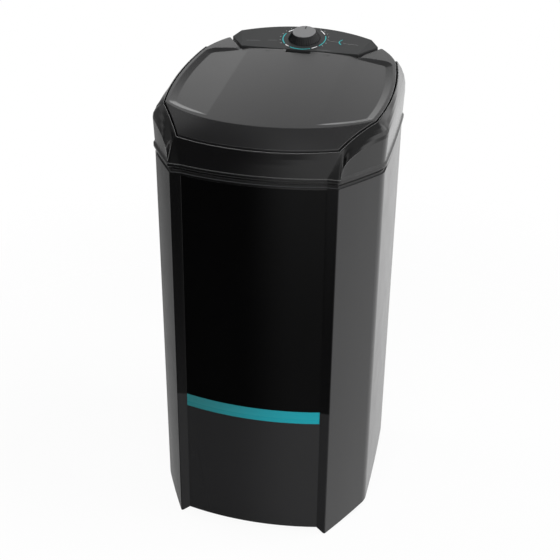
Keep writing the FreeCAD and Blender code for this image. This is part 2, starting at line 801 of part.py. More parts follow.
def top_frame():
    """Top frame: lip and groove at the seam, swept shoulder, and the well for the lid."""
    foot = wall_loop(0.0, lambda x, y: LIP_BOTTOM)
    edge = well_loop(-LID_GAP, well_height)
    rest = well_loop(-LID_GAP + WELL_DRAFT, ledge_height)
    outer = loft([foot] + band_loops() + [edge, rest])
    lip = loft([
        flat_wire(SEAM_PLAN, -LIP_OUT + LIP_EASE, LIP_BOTTOM),
        flat_wire(SEAM_PLAN, -LIP_OUT, LIP_BOTTOM + LIP_EASE),
        flat_wire(SEAM_PLAN, -LIP_OUT, LIP_TOP - LIP_EASE),
        flat_wire(SEAM_PLAN, LIP_EASE, LIP_TOP + LIP_FLARE),
    ])
    band = prism(SEAM_PLAN, GROOVE_IN, FLANGE_TOP, LIP_BOTTOM)
    hollow = loft([
        wall_loop(SKIN, lambda x, y: LIP_BOTTOM + LIP_H / 4),
        wall_loop(SKIN, lambda x, y: shoulder_height(x, y - HOLLOW_BACK) - SKIN, SWEEP_BUNCH),
        well_loop(-LID_GAP + 2 * SKIN, lambda x, y: ledge_height(x, y) - SKIN),
    ])
    throat = prism(SEAM_PLAN, GROOVE_IN + SKIN, FLANGE_TOP - SKIN, LIP_BOTTOM + SKIN)
    frame = joined([outer, lip, band]).cut([hollow, throat])
    ceiling = space_above(V(0, WELL_FRONT_Y, LEDGE_Z), V(0, -LEDGE_SLOPE, 1))
    collar_low = FLANGE_TOP + GASKET_T
    collar = tube(MOUTH_R + GASKET_W, MOUTH_R, collar_low, LID_FRONT_Z, 0, TUB_Y).cut(ceiling)
    bosses = [disc(BOSS_R * 0.7, FLANGE_TOP, LIP_BOTTOM + SCREW_BITE, x, y) for x, y in seam_screws()]
    frame = joined([frame, collar] + bosses)
    cuts = [disc(MOUTH_R - OPENING_IN, LIP_BOTTOM, LID_REAR_Z, 0, TUB_Y)]
    cuts += [pilot(V(x, y, FLANGE_TOP), UP, SCREW_BITE) for x, y in seam_screws()]
    cuts += [hole_through_ledge(x, y, SCREW_R + PLAY) for x, y in console_screws()]
    x, y = harness_place()
    cuts.append(disc(HARNESS_R + PLAY, LIP_BOTTOM, LID_REAR_Z, x, y))
    return frame.cut(cuts)


def hole_through_ledge(x, y, radius):
    hole = Part.makeCylinder(radius, 4 * SKIN, V(0, 0, -2 * SKIN))
    hole.Placement = FreeCAD.Placement(V(x, y, ledge_height(x, y)), FreeCAD.Rotation(UP, LEDGE_UP))
    return hole


def lid_block(inset, drop):
    """Solid under the lid's top, drawn in all round and lowered."""
    centre_y, foot_r, middle, top = apron_arc()
    low = LEDGE_Z - LID_EDGE
    high = LID_REAR_Z + APRON_RISE
    arc = Part.Arc(V(foot_r, 0, LID_FRONT_Z), V(middle[0], 0, middle[1]), V(top[0], 0, top[1])).toShape()
    away = arc.tangentAt(arc.LastParameter)
    tail = V(top[0], 0, top[1]) + away * APRON_RUN
    ring = [tail, V(tail.x, 0, high), V(0, 0, high), V(0, 0, low), V(foot_r + APRON_RUN, 0, low)]
    ring.append(V(foot_r + APRON_RUN, 0, LID_FRONT_Z - APRON_RUN))
    ring.append(V(foot_r, 0, LID_FRONT_Z))
    rest = [Part.LineSegment(a, b).toShape() for a, b in zip([V(top[0], 0, top[1])] + ring, ring)]
    bell = Part.Face(Part.Wire([arc] + rest)).revolve(V(0, 0, 0), UP, 360)
    bell.translate(V(0, centre_y, -drop * math.sqrt(2)))
    return prism(lid_plan(), inset, low, high).common(bell).cut(above_roof(-drop))


def lid_bottom():
    """Everything below the lid's lower edge."""
    place = V(0, WELL_FRONT_Y, LID_FRONT_Z - LID_EDGE)
    return space_above(place, V(0, LID_EDGE_SLOPE, -1))


def dish_plan():
    """Outline of the sunk part of the lid's top, along its ridge and sides, open behind its middle."""
    kink, ear = lid_corners()[1:3]
    centre_y, foot_r, middle, top = apron_arc()
    ridge_r = foot_r - RIDGE_BACK
    reach = math.sqrt(ridge_r ** 2 - kink[0] ** 2)
    inner = CONSOLE_HALF + RIM_FOOT
    corners = [(kink[0], centre_y - reach), ear, (inner, ear[1]), (inner, BACK_Y)]
    return Outline(corners, [ridge_r - reach, LID_SIDE_BOW, 0.0, 0.0, 0.0], [DISH_ROUND, DISH_ROUND, 0.0, 0.0])


def wing_height(x, y):
    edge = min(abs(x), WING_HALF)
    return roof_height(edge, y) - DISH_SLOPE * (abs(x) - edge)


def dish(drop):
    """What is sunk into the lid's top: both wings, inside a sloping rim."""
    def loop(inset, height):
        front, right, back = dish_plan().stretches(inset)
        return lifted_wire(front, right, back, height)

    slope = RIM_DEPTH / (RIM_FOOT - RIM_TOP)
    run = DISH_DIG / slope
    clear = RIM_TOP / 2
    hole = loft([
        loop(RIM_FOOT + run, lambda x, y: LEDGE_Z),
        loop(RIM_FOOT + run, lambda x, y: wing_height(x, y) - DISH_DIG),
        loop(RIM_TOP - clear, lambda x, y: roof_height(x, y) + clear * slope),
        loop(RIM_TOP - clear, lambda x, y: LID_REAR_Z + DEPTH / 4),
    ])
    floor = block(-DEPTH, DEPTH, -DEPTH, DEPTH, 0, 4 * LEDGE_Z)
    planes = [above_roof(1)]
    for sign in (-1, 1):
        edge = V(sign * WING_HALF, LID_REAR_Y, roof_height(WING_HALF, LID_REAR_Y))
        planes.append(space_above(edge, V(sign * DISH_SLOPE, -LID_SLOPE, 1)))
    hole = hole.cut(floor.cut(planes))
    hole.translate(V(0, 0, -drop))
    return hole


def knuckle_spans():
    """Places along X of the hinge knuckles."""
    half = SIDE_KNUCKLE_W / 2
    centre = NOTCH_HALF - KNUCKLE_GAP
    return [(-SIDE_KNUCKLE_X - half, -SIDE_KNUCKLE_X + half), (-centre, centre),
            (SIDE_KNUCKLE_X - half, SIDE_KNUCKLE_X + half)]


def lid():
    """Lid: a thin shell with a skirt, slots for the knuckles and ribs that turn on the rod."""
    whole = lid_block(0.0, 0.0).cut(dish(0.0))
    inner = lid_block(LID_SKIN, LID_SKIN).cut(dish(LID_SKIN))
    shell = whole.cut(inner).cut(lid_bottom())
    core = lid_block(LID_SKIN / 2, LID_SKIN / 2)
    ribs = []
    for low, high in knuckle_spans():
        for x in (low - KNUCKLE_GAP - HINGE_RIB, high + KNUCKLE_GAP):
            rib = block(x, x + HINGE_RIB, HINGE_Y - 2 * KNUCKLE_R, LID_REAR_Y, HINGE_Z - KNUCKLE_R, LID_REAR_Z)
            ribs.append(rib.common(core))
    shell = joined([shell] + ribs)
    cuts = [rod_across(HINGE_ROD_R + RUNNING, hinge_half() + PLAY)]
    for low, high in knuckle_spans():
        top = HINGE_Z + KNUCKLE_R + KNUCKLE_GAP
        if low < 0 < high:
            top = LID_REAR_Z + LID_SKIN
        front = HINGE_Y - KNUCKLE_R - KNUCKLE_GAP
        cuts.append(block(low - KNUCKLE_GAP, high + KNUCKLE_GAP, front, LID_REAR_Y + 1, LEDGE_Z, top))
    return shell.cut(cuts)


def rod_across(radius, half):
    return Part.makeCylinder(radius, 2 * half, V(-half, HINGE_Y, HINGE_Z), V(1, 0, 0))


def hinge_half():
    return SIDE_KNUCKLE_X + SIDE_KNUCKLE_W / 2 + KNUCKLE_GAP + HINGE_RIB


def hinge_rod():
    return rod_across(HINGE_ROD_R, hinge_half())


def hinge_knuckles():
    """Three knuckles on the console's front wall. Their arms come from below, clear of the lid."""
    group = []
    for low, high in knuckle_spans():
        barrel = Part.makeCylinder(KNUCKLE_R, high - low, V(low, HINGE_Y, HINGE_Z), V(1, 0, 0))
        foot = HINGE_Z - ARM_DROP - ARM_T
        stem = block(low, high, HINGE_Y - STEM_T / 2, HINGE_Y + STEM_T / 2, foot, HINGE_Z)
        arm = block(low, high, HINGE_Y - STEM_T / 2, CONSOLE_Y, foot, foot + ARM_T)
        group.append(joined([barrel, stem, arm]).cut(rod_across(HINGE_ROD_R + SLIP, DEPTH)))
    return Part.makeCompound(group)


def lid_bumpers():
    """Rubber pads under the front of the lid's skirt."""
    centre_y, foot_r, middle, top = apron_arc()
    radius = foot_r - LID_SKIN / 2
    y = centre_y - math.sqrt(radius ** 2 - BUMPER_X ** 2)
    pad = disc(BUMPER_R, LEDGE_Z - LEDGE_DROP, LID_FRONT_Z, BUMPER_X, y)
    pad = pad.cut(space_above(V(0, WELL_FRONT_Y, LEDGE_Z), -LEDGE_UP))
    ceiling = V(0, WELL_FRONT_Y, LID_FRONT_Z - LID_EDGE - PLAY)
    pad = pad.cut(space_above(ceiling, V(0, -LID_EDGE_SLOPE, 1)))
    return Part.makeCompound(both_sides(pad))


def fascia_height(y):
    return FASCIA_Z + PANEL_SLOPE * (y - CONSOLE_Y)


def console_block(drop):
    """Console below its sloping face, whose two ends fall away."""
    solid = prism(console_plan(), 0.0, LEDGE_Z, FASCIA_Z + DEPTH)
    planes = [space_above(V(0, CONSOLE_Y, FASCIA_Z - drop), PANEL_UP)]
    for sign in (-1, 1):
        near = V(sign * CONSOLE_HALF, CONSOLE_Y, FASCIA_Z - drop)
        rear_y = CONSOLE_Y + CONSOLE_REAR_BACK
        rear = V(sign * CONSOLE_REAR_HALF, rear_y, fascia_height(rear_y) - drop)
        end_y = CONSOLE_Y + CONSOLE_END_BACK
        end = V(sign * CONSOLE_END_HALF, end_y, fascia_height(end_y) - END_DROP - drop)
        planes.append(space_above(near, (rear - near).cross(end - near) * -sign))
    return solid.cut(planes)


def console_screws():
    rear_y = BACK_Y - CONSOLE_REAR_IN - CONSOLE_SCREW_REAR
    front_y = CONSOLE_Y + CONSOLE_SCREW_IN
    right = [(CONSOLE_SCREW_X, front_y), (CONSOLE_SCREW_REAR_X, rear_y)]
    return right + [(-x, y) for x, y in right]


def control_housing():
    """Console walls on the ledge, with four screw posts."""
    floor = space_above(V(0, WELL_FRONT_Y, LEDGE_Z), -LEDGE_UP)
    under = console_block(FASCIA_T)
    walls = under.cut(prism(console_plan(), CONSOLE_WALL, LEDGE_Z - 1, FASCIA_Z + DEPTH))
    posts = []
    for x, y in console_screws():
        posts.append(disc(CONSOLE_SCREW_IN, LEDGE_Z, ledge_height(x, y) + POST_H, x, y).common(under))
    housing = joined([walls] + posts).cut(floor)
    pilots = [pilot(V(x, y, ledge_height(x, y)), LEDGE_UP, SCREW_BITE) for x, y in console_screws()]
    return housing.cut(pilots)


def control_panel():
    """Sloping face of the console, with the hole for the timer's bush."""
    face = console_block(0.0).cut(console_block(FASCIA_T))
    return face.cut(on_panel(Part.makeCylinder(TIMER_BUSH_R + PLAY, 4 * FASCIA_T, V(0, 0, -2 * FASCIA_T))))


def on_panel(shape):
    """Move a piece from the knob's own frame to its place on the console."""
    y = CONSOLE_Y + KNOB_BACK
    shape.Placement = FreeCAD.Placement(V(0, y, fascia_height(y)), FreeCAD.Rotation(UP, PANEL_UP))
    return shape


def timer_body():
    low = -FASCIA_TRUE - TIMER_H
    case = Part.makeBox(TIMER_SIZE, TIMER_SIZE, TIMER_H, V(-TIMER_SIZE / 2, -TIMER_SIZE / 2, low))
    case = case.makeFillet(TIMER_ROUND, [e for e in case.Edges if abs(e.tangentAt(0).z) > 0.5])
    bush = Part.makeCylinder(TIMER_BUSH_R, FASCIA_TRUE + KNOB_LIFT / 2, V(0, 0, -FASCIA_TRUE))
    bore = Part.makeCylinder(TIMER_SHAFT_R + RUNNING, DEPTH, V(0, 0, low + TIMER_H / 2))
    return on_panel(case.fuse(bush).removeSplitter().cut(bore))


def timer_shaft():
    low = -FASCIA_TRUE - TIMER_H / 2
    return on_panel(Part.makeCylinder(TIMER_SHAFT_R, KNOB_H - KNOB_CAP_T - low, V(0, 0, low)))


def knob():
    """Tapered knob with flutes round its skirt."""
    body = Part.makeCone(KNOB_R, KNOB_TOP_R, KNOB_H - KNOB_LIFT, V(0, 0, KNOB_LIFT))
    lean = math.atan2(KNOB_R - KNOB_TOP_R, KNOB_H - KNOB_LIFT)
    flute = Part.makeCylinder(FLUTE_R, 2 * KNOB_H, V(0, 0, -KNOB_H / 2))
    flute.rotate(V(0, 0, 0), V(0, 1, 0), -math.degrees(lean))
    flute.translate(V((KNOB_R + KNOB_TOP_R) / 2 + FLUTE_R * FLUTE_OUT, 0, KNOB_H / 2))
    flutes = [flute.rotated(V(0, 0, 0), UP, 360.0 * i / FLUTE_COUNT) for i in range(FLUTE_COUNT)]
    body = body.cut(flutes)
    seat = Part.makeCylinder(KNOB_TOP_R - KNOB_RIM, KNOB_H, V(0, 0, KNOB_H - KNOB_CAP_T / 2))
    bore = Part.makeCylinder(TIMER_SHAFT_R + SLIP, KNOB_H - KNOB_CAP_T + SLIP)
    return on_panel(body.cut([seat, bore]))


def knob_cap():
    """Pale disc let into the knob's top, with a groove for the pointer."""
    low = KNOB_H - KNOB_CAP_T / 2
    cap = Part.makeCylinder(KNOB_TOP_R - KNOB_RIM - SLIP, KNOB_CAP_T, V(0, 0, low))
    rim = [e for e in cap.Edges if e.BoundBox.ZMin > low + KNOB_CAP_T / 2]
    cap = cap.makeFillet(KNOB_CAP_T / 3, rim)
    return on_panel(cap.cut(pointer_bar(0.0)))


def pointer_bar(play):
    length = POINTER_L - 2 * play
    width = POINTER_W - 2 * play
    low = KNOB_H + KNOB_CAP_T / 2 - POINTER_T + play
    start = KNOB_TOP_R - KNOB_RIM - POINTER_IN - POINTER_L + play
    return Part.makeBox(width, length, POINTER_T - play, V(-width / 2, start, low))


def knob_pointer():
    return on_panel(pointer_bar(SLIP))


def timer_side():
    """Middle of the timer's right-hand face, where its wires leave."""
    y = CONSOLE_Y + KNOB_BACK
    place = FreeCAD.Placement(V(0, y, fascia_height(y)), FreeCAD.Rotation(UP, PANEL_UP))
    return place.multVec(V(TIMER_SIZE / 2, 0, -FASCIA_TRUE - TIMER_H / 2))


def harness_place():
    return MOTOR_X, timer_side().y


def tub_cone(extra, low):
    """Tapered bowl from a height up to the flange, larger by extra all round."""
    taper = (MOUTH_R - TUB_BOTTOM_R) / (FLANGE_TOP - TUB_FLOOR)
    radius = TUB_BOTTOM_R + extra + taper * (low - TUB_FLOOR)
    bowl = Part.makeCone(radius, MOUTH_R + extra, FLANGE_TOP - low, V(0, TUB_Y, low))
    foot = [e for e in bowl.Edges if e.BoundBox.ZMax < low + 1e-6]
    return bowl.makeFillet(TUB_ROUND + extra, foot)


def boss_places():
    """Four bosses under the tub that carry the motor's bracket."""
    reach = BOSS_RING / math.sqrt(2)
    return [(sx * reach, TUB_Y + sy * reach) for sx in (-1, 1) for sy in (-1, 1)]


def filter_rails():
    """Channel on the tub's rear wall for the lint filter, with a stop below it."""
    inner = FILTER_W / 2 + PLAY
    back_y = TUB_Y + FILTER_BACK
    front_y = back_y - FILTER_T - 2 * PLAY
    top = FILTER_Z + FILTER_H
    rails = []
    for sign in (-1, 1):
        ends = sorted([sign * inner, sign * (inner + RAIL_W)])
        rails.append(block(ends[0], ends[1], front_y - RAIL_LIP, TUB_Y + MOUTH_R, FILTER_Z - RAIL_LIP, top))
        ends = sorted([sign * (inner - RAIL_LIP), sign * (inner + RAIL_W)])
        rails.append(block(ends[0], ends[1], front_y - RAIL_LIP, front_y, FILTER_Z - RAIL_LIP, top))
    rails.append(block(-inner, inner, front_y - RAIL_LIP, TUB_Y + MOUTH_R, FILTER_Z - RAIL_LIP, FILTER_Z))
    return [rail.common(tub_cone(TUB_WALL / 2, TUB_FLOOR)) for rail in rails]


def wash_tub():
    """Bowl hung from a flange in the seam, with bosses, a drain stub and the filter's channel."""
    plate = prism(SEAM_PLAN, FLANGE_IN, CABINET_TOP, FLANGE_TOP)
    tub = joined([plate, tub_cone(TUB_WALL, TUB_UNDER)]).cut(tub_cone(0.0, TUB_FLOOR))
    extras = [disc(BOSS_R, BRACKET_TOP, TUB_UNDER + TUB_FLOOR_T / 2, x, y) for x, y in boss_places()]
    extras.append(disc(DRAIN_BORE + DRAIN_WALL, TUB_UNDER - DRAIN_STUB, TUB_FLOOR, -DRAIN_X, TUB_Y))
    tub = joined([tub] + extras + filter_rails())
    cuts = [disc(DRAIN_BORE, 0, TUB_FLOOR + 1, -DRAIN_X, TUB_Y)]
    cuts.append(disc(NECK_R + PLAY, 0, TUB_FLOOR + 1, 0, TUB_Y))
    cuts += [pilot(V(x, y, BRACKET_TOP), UP, SCREW_BITE) for x, y in boss_places()]
    cuts += [disc(SCREW_R + PLAY, CABINET_TOP - 1, FLANGE_TOP + 1, x, y) for x, y in seam_screws()]
    x, y = harness_place()
    cuts.append(disc(HARNESS_R + PLAY, CABINET_TOP - 1, FLANGE_TOP + 1, x, y))
    return tub.cut(cuts)


def tub_gasket():
    return tube(MOUTH_R + GASKET_W, MOUTH_R, FLANGE_TOP, FLANGE_TOP + GASKET_T, 0, TUB_Y)


def drain_strainer():
    """Perforated disc over the drain."""
    plate = disc(STRAINER_R, TUB_FLOOR, TUB_FLOOR + STRAINER_T, -DRAIN_X, TUB_Y)
    holes = []
    for ring, count in ((0.0, 1), (STRAINER_RING, 6), (2 * STRAINER_RING, 12)):
        for i in range(count):
            turn = 2 * math.pi * i / count
            x = -DRAIN_X + ring * math.cos(turn)
            y = TUB_Y + ring * math.sin(turn)
            holes.append(disc(STRAINER_HOLE, TUB_FLOOR - 1, TUB_FLOOR + 2 * STRAINER_T, x, y))
    return plate.cut(holes)


def lint_filter():
    """Cassette with rows of slots, and a grip along its top."""
    half = FILTER_W / 2
    back_y = TUB_Y + FILTER_BACK - PLAY
    cassette = block(-half, half, back_y - FILTER_T, back_y, FILTER_Z + PLAY, FILTER_Z + FILTER_H)
    grip = block(-FILTER_GRIP, FILTER_GRIP, back_y - 2 * FILTER_T, back_y - FILTER_T / 2,
                 FILTER_Z + FILTER_H - GRIP_H, FILTER_Z + FILTER_H)
    slots = []
    pitch = (FILTER_H - 2 * GRIP_H) / SLOT_ROWS
    for row in range(SLOT_ROWS):
        low = FILTER_Z + GRIP_H / 2 + row * pitch
        for x in (-half + SLOT_EDGE, SLOT_EDGE / 2):
            wide = half - 1.5 * SLOT_EDGE
            slots.append(block(x, x + wide, back_y - 2 * FILTER_T, back_y + 1, low, low + pitch / 2))
    return joined([cassette, grip]).cut(slots)


def agitator():
    """Pulsator: a dished disc with a hub and swept vanes."""
    low = TUB_FLOOR + AGITATOR_GAP
    plate = disc(AGITATOR_R, low, low + AGITATOR_T, 0, TUB_Y)
    rim = [e for e in plate.Edges if e.Length > AGITATOR_R and e.BoundBox.ZMin > low]
    plate = plate.makeFillet(AGITATOR_T / 2, rim)
    hub = Part.makeCone(HUB_R, HUB_TOP_R, AGITATOR_H, V(0, TUB_Y, low))
    crown = [e for e in hub.Edges if e.BoundBox.ZMin > low + AGITATOR_H - 1e-6]
    hub = hub.makeFillet(HUB_TOP_R / 2, crown)
    section = [(0.0, low), (AGITATOR_R - VANE_T, low), (AGITATOR_R - VANE_T, low + AGITATOR_T + VANE_T),
               (HUB_R, low + VANE_H), (0.0, low + VANE_H)]
    ring = [V(x, TUB_Y - VANE_T / 2, z) for x, z in section + section[:1]]
    vane = Part.Face(Part.makePolygon(ring)).extrude(V(0, VANE_T, 0))
    axis = V(0, TUB_Y, 0)
    vanes = [vane.rotated(axis, UP, 360.0 * i / VANE_COUNT) for i in range(VANE_COUNT)]
    body = joined([plate, hub] + vanes)
    pocket = disc(NECK_R + NECK_CLEAR, low - 1, TUB_FLOOR + NECK_RISE + NECK_CLEAR, 0, TUB_Y)
    bore = disc(SHAFT_R + SLIP, low, low + AGITATOR_H - HUB_CAP, 0, TUB_Y)
    return body.cut([pocket, bore])


def drive_shaft():
    top = TUB_FLOOR + AGITATOR_GAP + AGITATOR_H - HUB_CAP
    return disc(SHAFT_R, PULLEY_TOP - PULLEY_W, top - PLAY, 0, TUB_Y)


def bearing_housing():
    """Flanged barrel under the tub whose neck comes up through the floor."""
    barrel = disc(HOUSING_R, HOUSING_BOTTOM, TUB_UNDER, 0, TUB_Y)
    flange = disc(HOUSING_FLANGE_R, TUB_UNDER - HOUSING_FLANGE_T, TUB_UNDER, 0, TUB_Y)
    neck = disc(NECK_R, HOUSING_BOTTOM, TUB_FLOOR + NECK_RISE, 0, TUB_Y)
    bore = disc(SHAFT_R + BUSH_T, 0, TUB_FLOOR + DEPTH, 0, TUB_Y)
    return joined([barrel, flange, neck]).cut(bore)


def bush(z_low, length):
    return tube(SHAFT_R + BUSH_T, SHAFT_R + RUNNING, z_low, z_low + length, 0, TUB_Y)


def shaft_seal():
    return bush(TUB_FLOOR + NECK_RISE - SEAL_T, SEAL_T)


def upper_bush():
    return bush(TUB_FLOOR + NECK_RISE - SEAL_T - BUSH_L, BUSH_L)


def lower_bush():
    return bush(HOUSING_BOTTOM, BUSH_L)


def pulley(radius, hub_r, bore, x, y):
    """Grooved wheel in the belt's plane."""
    low = PULLEY_TOP - PULLEY_W
    half = BELT_W / 2 + PLAY
    section = [(bore, low), (radius, low), (radius, BELT_MID - half - GROOVE_FLARE),
               (radius - GROOVE_DEPTH, BELT_MID - half), (radius - GROOVE_DEPTH, BELT_MID + half),
               (radius, BELT_MID + half + GROOVE_FLARE), (radius, PULLEY_TOP), (bore, PULLEY_TOP)]
    ring = [V(x + r, y, z) for r, z in section + section[:1]]
    wheel = Part.Face(Part.makePolygon(ring)).revolve(V(x, y, 0), UP, 360)
    rim = radius - GROOVE_DEPTH - RIM_METAL
    if rim > hub_r:
        hollow = tube(rim, hub_r, PULLEY_TOP - PULLEY_WEB, PULLEY_TOP + 1, x, y)
        wheel = wheel.cut([hollow, hollow.translated(V(0, 0, -PULLEY_W + PULLEY_WEB - 1))])
    return wheel


def drive_pulley():
    return pulley(PULLEY_R, HOUSING_R, SHAFT_R + SLIP, 0, TUB_Y)


def motor_pulley():
    return pulley(MOTOR_PULLEY_R, MOTOR_PULLEY_R, MOTOR_SHAFT_R + SLIP, MOTOR_X, MOTOR_Y)


def belt_loop(gap):
    """Flat loop round both pulleys, as a filled face."""
    small = MOTOR_PULLEY_R - GROOVE_DEPTH + gap
    large = PULLEY_R - GROOVE_DEPTH + gap
    apart = math.hypot(MOTOR_X, MOTOR_BACK)
    lean = math.acos((large - small) / apart)
    low = BELT_MID - BELT_W / 2

    def at(centre_x, radius, turn):
        return V(centre_x + radius * math.cos(turn), radius * math.sin(turn), low)

    a, b = at(0, large, lean), at(apart, small, lean)
    c, d = at(apart, small, -lean), at(0, large, -lean)
    edges = [Part.LineSegment(a, b).toShape(), Part.Arc(b, at(apart, small, 0), c).toShape(),
             Part.LineSegment(c, d).toShape(), Part.Arc(d, at(0, large, math.pi), a).toShape()]
    face = Part.Face(Part.Wire(edges))
    face.rotate(V(0, 0, 0), UP, math.degrees(math.atan2(MOTOR_BACK, MOTOR_X)))
    face.translate(V(0, TUB_Y, 0))
    return face


def drive_belt():
    face = belt_loop(PLAY + BELT_T).cut(belt_loop(PLAY))
    return face.extrude(V(0, 0, BELT_W))


def motor_body():
    """Motor case with a nose below it and a box for its wires."""
    low = MOTOR_TOP - MOTOR_H
    case = disc(MOTOR_R, low, MOTOR_TOP, MOTOR_X, MOTOR_Y)
    case = case.makeFillet(MOTOR_ROUND, [e for e in case.Edges if e.Length > MOTOR_H and e.isClosed()])
    nose = disc(NOSE_R, low - NOSE_H, MOTOR_TOP - MOTOR_ROUND, MOTOR_X, MOTOR_Y)
    middle = low + MOTOR_H / 2
    wires = block(MOTOR_X - WIRE_BOX, MOTOR_X + WIRE_BOX, MOTOR_Y, MOTOR_Y + MOTOR_R + WIRE_BOX_OUT,
                  middle - WIRE_BOX, middle + WIRE_BOX)
    bore = disc(MOTOR_SHAFT_R + RUNNING, low - NOSE_H - 1, low + MOTOR_H / 2, MOTOR_X, MOTOR_Y)
    return joined([case, nose, wires]).cut(bore)


def motor_shaft():
    return disc(MOTOR_SHAFT_R, PULLEY_TOP - PULLEY_W, MOTOR_TOP - MOTOR_H / 2 - PLAY, MOTOR_X, MOTOR_Y)


def motor_bracket():
    """Flat plate from the tub's bosses out to the motor."""
    low = BRACKET_TOP - BRACKET_T
    plate = disc(BOSS_RING + BOSS_R, low, BRACKET_TOP, 0, TUB_Y)
    pad = disc(BUFFER_RING + BUFFER_R, low, BRACKET_TOP, MOTOR_X, MOTOR_Y)
    arm = Part.makeBox(math.hypot(MOTOR_X, MOTOR_BACK), BRACKET_W, BRACKET_T, V(0, -BRACKET_W / 2, low))
    arm.rotate(V(0, 0, 0), UP, math.degrees(math.atan2(MOTOR_BACK, MOTOR_X)))
    arm.translate(V(0, TUB_Y, 0))
    cuts = [disc(HOUSING_R + NECK_CLEAR, low - 1, BRACKET_TOP + 1, 0, TUB_Y)]
    cuts += [disc(SCREW_R + PLAY, low - 1, BRACKET_TOP + 1, x, y) for x, y in boss_places()]
    return joined([plate, pad, arm]).cut(cuts)


def motor_buffers():
    ring = []
    for i in range(4):
        turn = math.pi / 2 * i
        x = MOTOR_X + BUFFER_RING * math.cos(turn)
        y = MOTOR_Y + BUFFER_RING * math.sin(turn)
        ring.append(disc(BUFFER_R, MOTOR_TOP, BRACKET_TOP - BRACKET_T, x, y))
    return Part.makeCompound(ring)


def capacitor():
    can = disc(CAPACITOR_R, BASE_TOP, BASE_TOP + CAPACITOR_H, CAPACITOR_X, CAPACITOR_Y)
    return can.makeFillet(CLIP_T, [e for e in can.Edges if e.BoundBox.ZMin > BASE_TOP + 1])


def capacitor_clip():
    """Flanged cup on the base round the capacitor's foot."""
    cup = disc(CAPACITOR_R + CLIP_T, BASE_TOP, BASE_TOP + CLIP_H, CAPACITOR_X, CAPACITOR_Y)
    flange = disc(CAPACITOR_R + CLIP_FLANGE, BASE_TOP, BASE_TOP + CLIP_T, CAPACITOR_X, CAPACITOR_Y)
    bore = disc(CAPACITOR_R + SLIP, BASE_TOP - 1, BASE_TOP + CLIP_H + 1, CAPACITOR_X, CAPACITOR_Y)
    return joined([cup, flange]).cut(bore)


def bent_tube(path, radius, bore=0.0):
    """Round tube along straight runs and tangent arcs."""
    wire = Part.Wire(path)
    first = path[0]
    start = first.valueAt(first.FirstParameter)
    aim = first.tangentAt(first.FirstParameter)

    def run(size):
        ring = Part.Wire(Part.makeCircle(size, start, aim))
        return wire.makePipeShell([ring], True, False)

    outer = run(radius)
    return outer.cut(run(bore)) if bore else outer


def quarter(start, first, second, radius):
    """Quarter bend that leaves along one direction and ends along another."""
    centre = start + second * radius
    middle = centre + (first - second) * (radius / math.sqrt(2))
    end = centre + first * radius
    return Part.Arc(start, middle, end).toShape(), end


def drain_end():
    """Y of the joint between the inner hose and the spigot."""
    return back_wall(DRAIN_X + SPIGOT_R, DRAIN_HEIGHT, WALL) - PLAY - SPIGOT_FLANGE


def drain_hose():
    """Hose inside the cabinet, from the tub's stub down and back to the spigot."""
    down, aft = V(0, 0, -1), V(0, 1, 0)
    top = V(-DRAIN_X, TUB_Y, TUB_UNDER - DRAIN_STUB)
    turn = V(-DRAIN_X, TUB_Y, DRAIN_HEIGHT + DRAIN_BEND)
    bend, out = quarter(turn, down, aft, DRAIN_BEND)
    end = V(-DRAIN_X, drain_end(), DRAIN_HEIGHT)
    path = [Part.LineSegment(top, turn).toShape(), bend, Part.LineSegment(out, end).toShape()]
    return bent_tube(path, DRAIN_BORE + DRAIN_WALL, DRAIN_BORE)


def drain_spigot():
    """Outlet through the back wall, with a flange inside and a slimmer nose outside."""
    start = drain_end()
    outside = back_wall(DRAIN_X - SPIGOT_R, DRAIN_HEIGHT) + PLAY
    pipe = rod_back(-DRAIN_X, DRAIN_HEIGHT, DRAIN_BORE + DRAIN_WALL, start, outside)
    nose = rod_back(-DRAIN_X, DRAIN_HEIGHT, DRAIN_BORE + DRAIN_WALL / 2, start, BACK_Y)
    flange = rod_back(-DRAIN_X, DRAIN_HEIGHT, SPIGOT_R, start, start + SPIGOT_FLANGE)
    bore = rod_back(-DRAIN_X, DRAIN_HEIGHT, DRAIN_BORE, start - 1, BACK_Y + 1)
    return joined([pipe, nose, flange]).cut(bore)


def cord_gland():
    """Bushing for the mains cord in the back wall."""
    outside = back_wall(GLAND_X - GLAND_FLANGE, GLAND_Z) + PLAY
    body = rod_back(GLAND_X, GLAND_Z, GLAND_R, outside - 3 * WALL, outside + GLAND_OUT)
    flange = rod_back(GLAND_X, GLAND_Z, GLAND_FLANGE, outside, outside + WALL)
    bore = rod_back(GLAND_X, GLAND_Z, GLAND_BORE, outside - 4 * WALL, outside + 2 * GLAND_OUT)
    return joined([body, flange]).cut(bore)


def wiring_harness():
    """Sleeve with the wires from the timer down to the motor."""
    right, down, front = V(1, 0, 0), V(0, 0, -1), V(0, -1, 0)
    start = timer_side()
    level = MOTOR_TOP - MOTOR_H / 2
    first = V(MOTOR_X - HARNESS_BEND, start.y, start.z)
    bend, below = quarter(first, right, down, HARNESS_BEND)
    second = V(MOTOR_X, start.y, level + HARNESS_BEND)
    turn, ahead = quarter(second, down, front, HARNESS_BEND)
    end = V(MOTOR_X, MOTOR_Y + MOTOR_R + WIRE_BOX_OUT, level)
    path = [Part.LineSegment(start, first).toShape(), bend, Part.LineSegment(below, second).toShape(),
            turn, Part.LineSegment(ahead, end).toShape()]
    return bent_tube(path, HARNESS_R)


def foot_places():
    return [(sx * x, y) for x, y in FEET for sx in (-1, 1)]


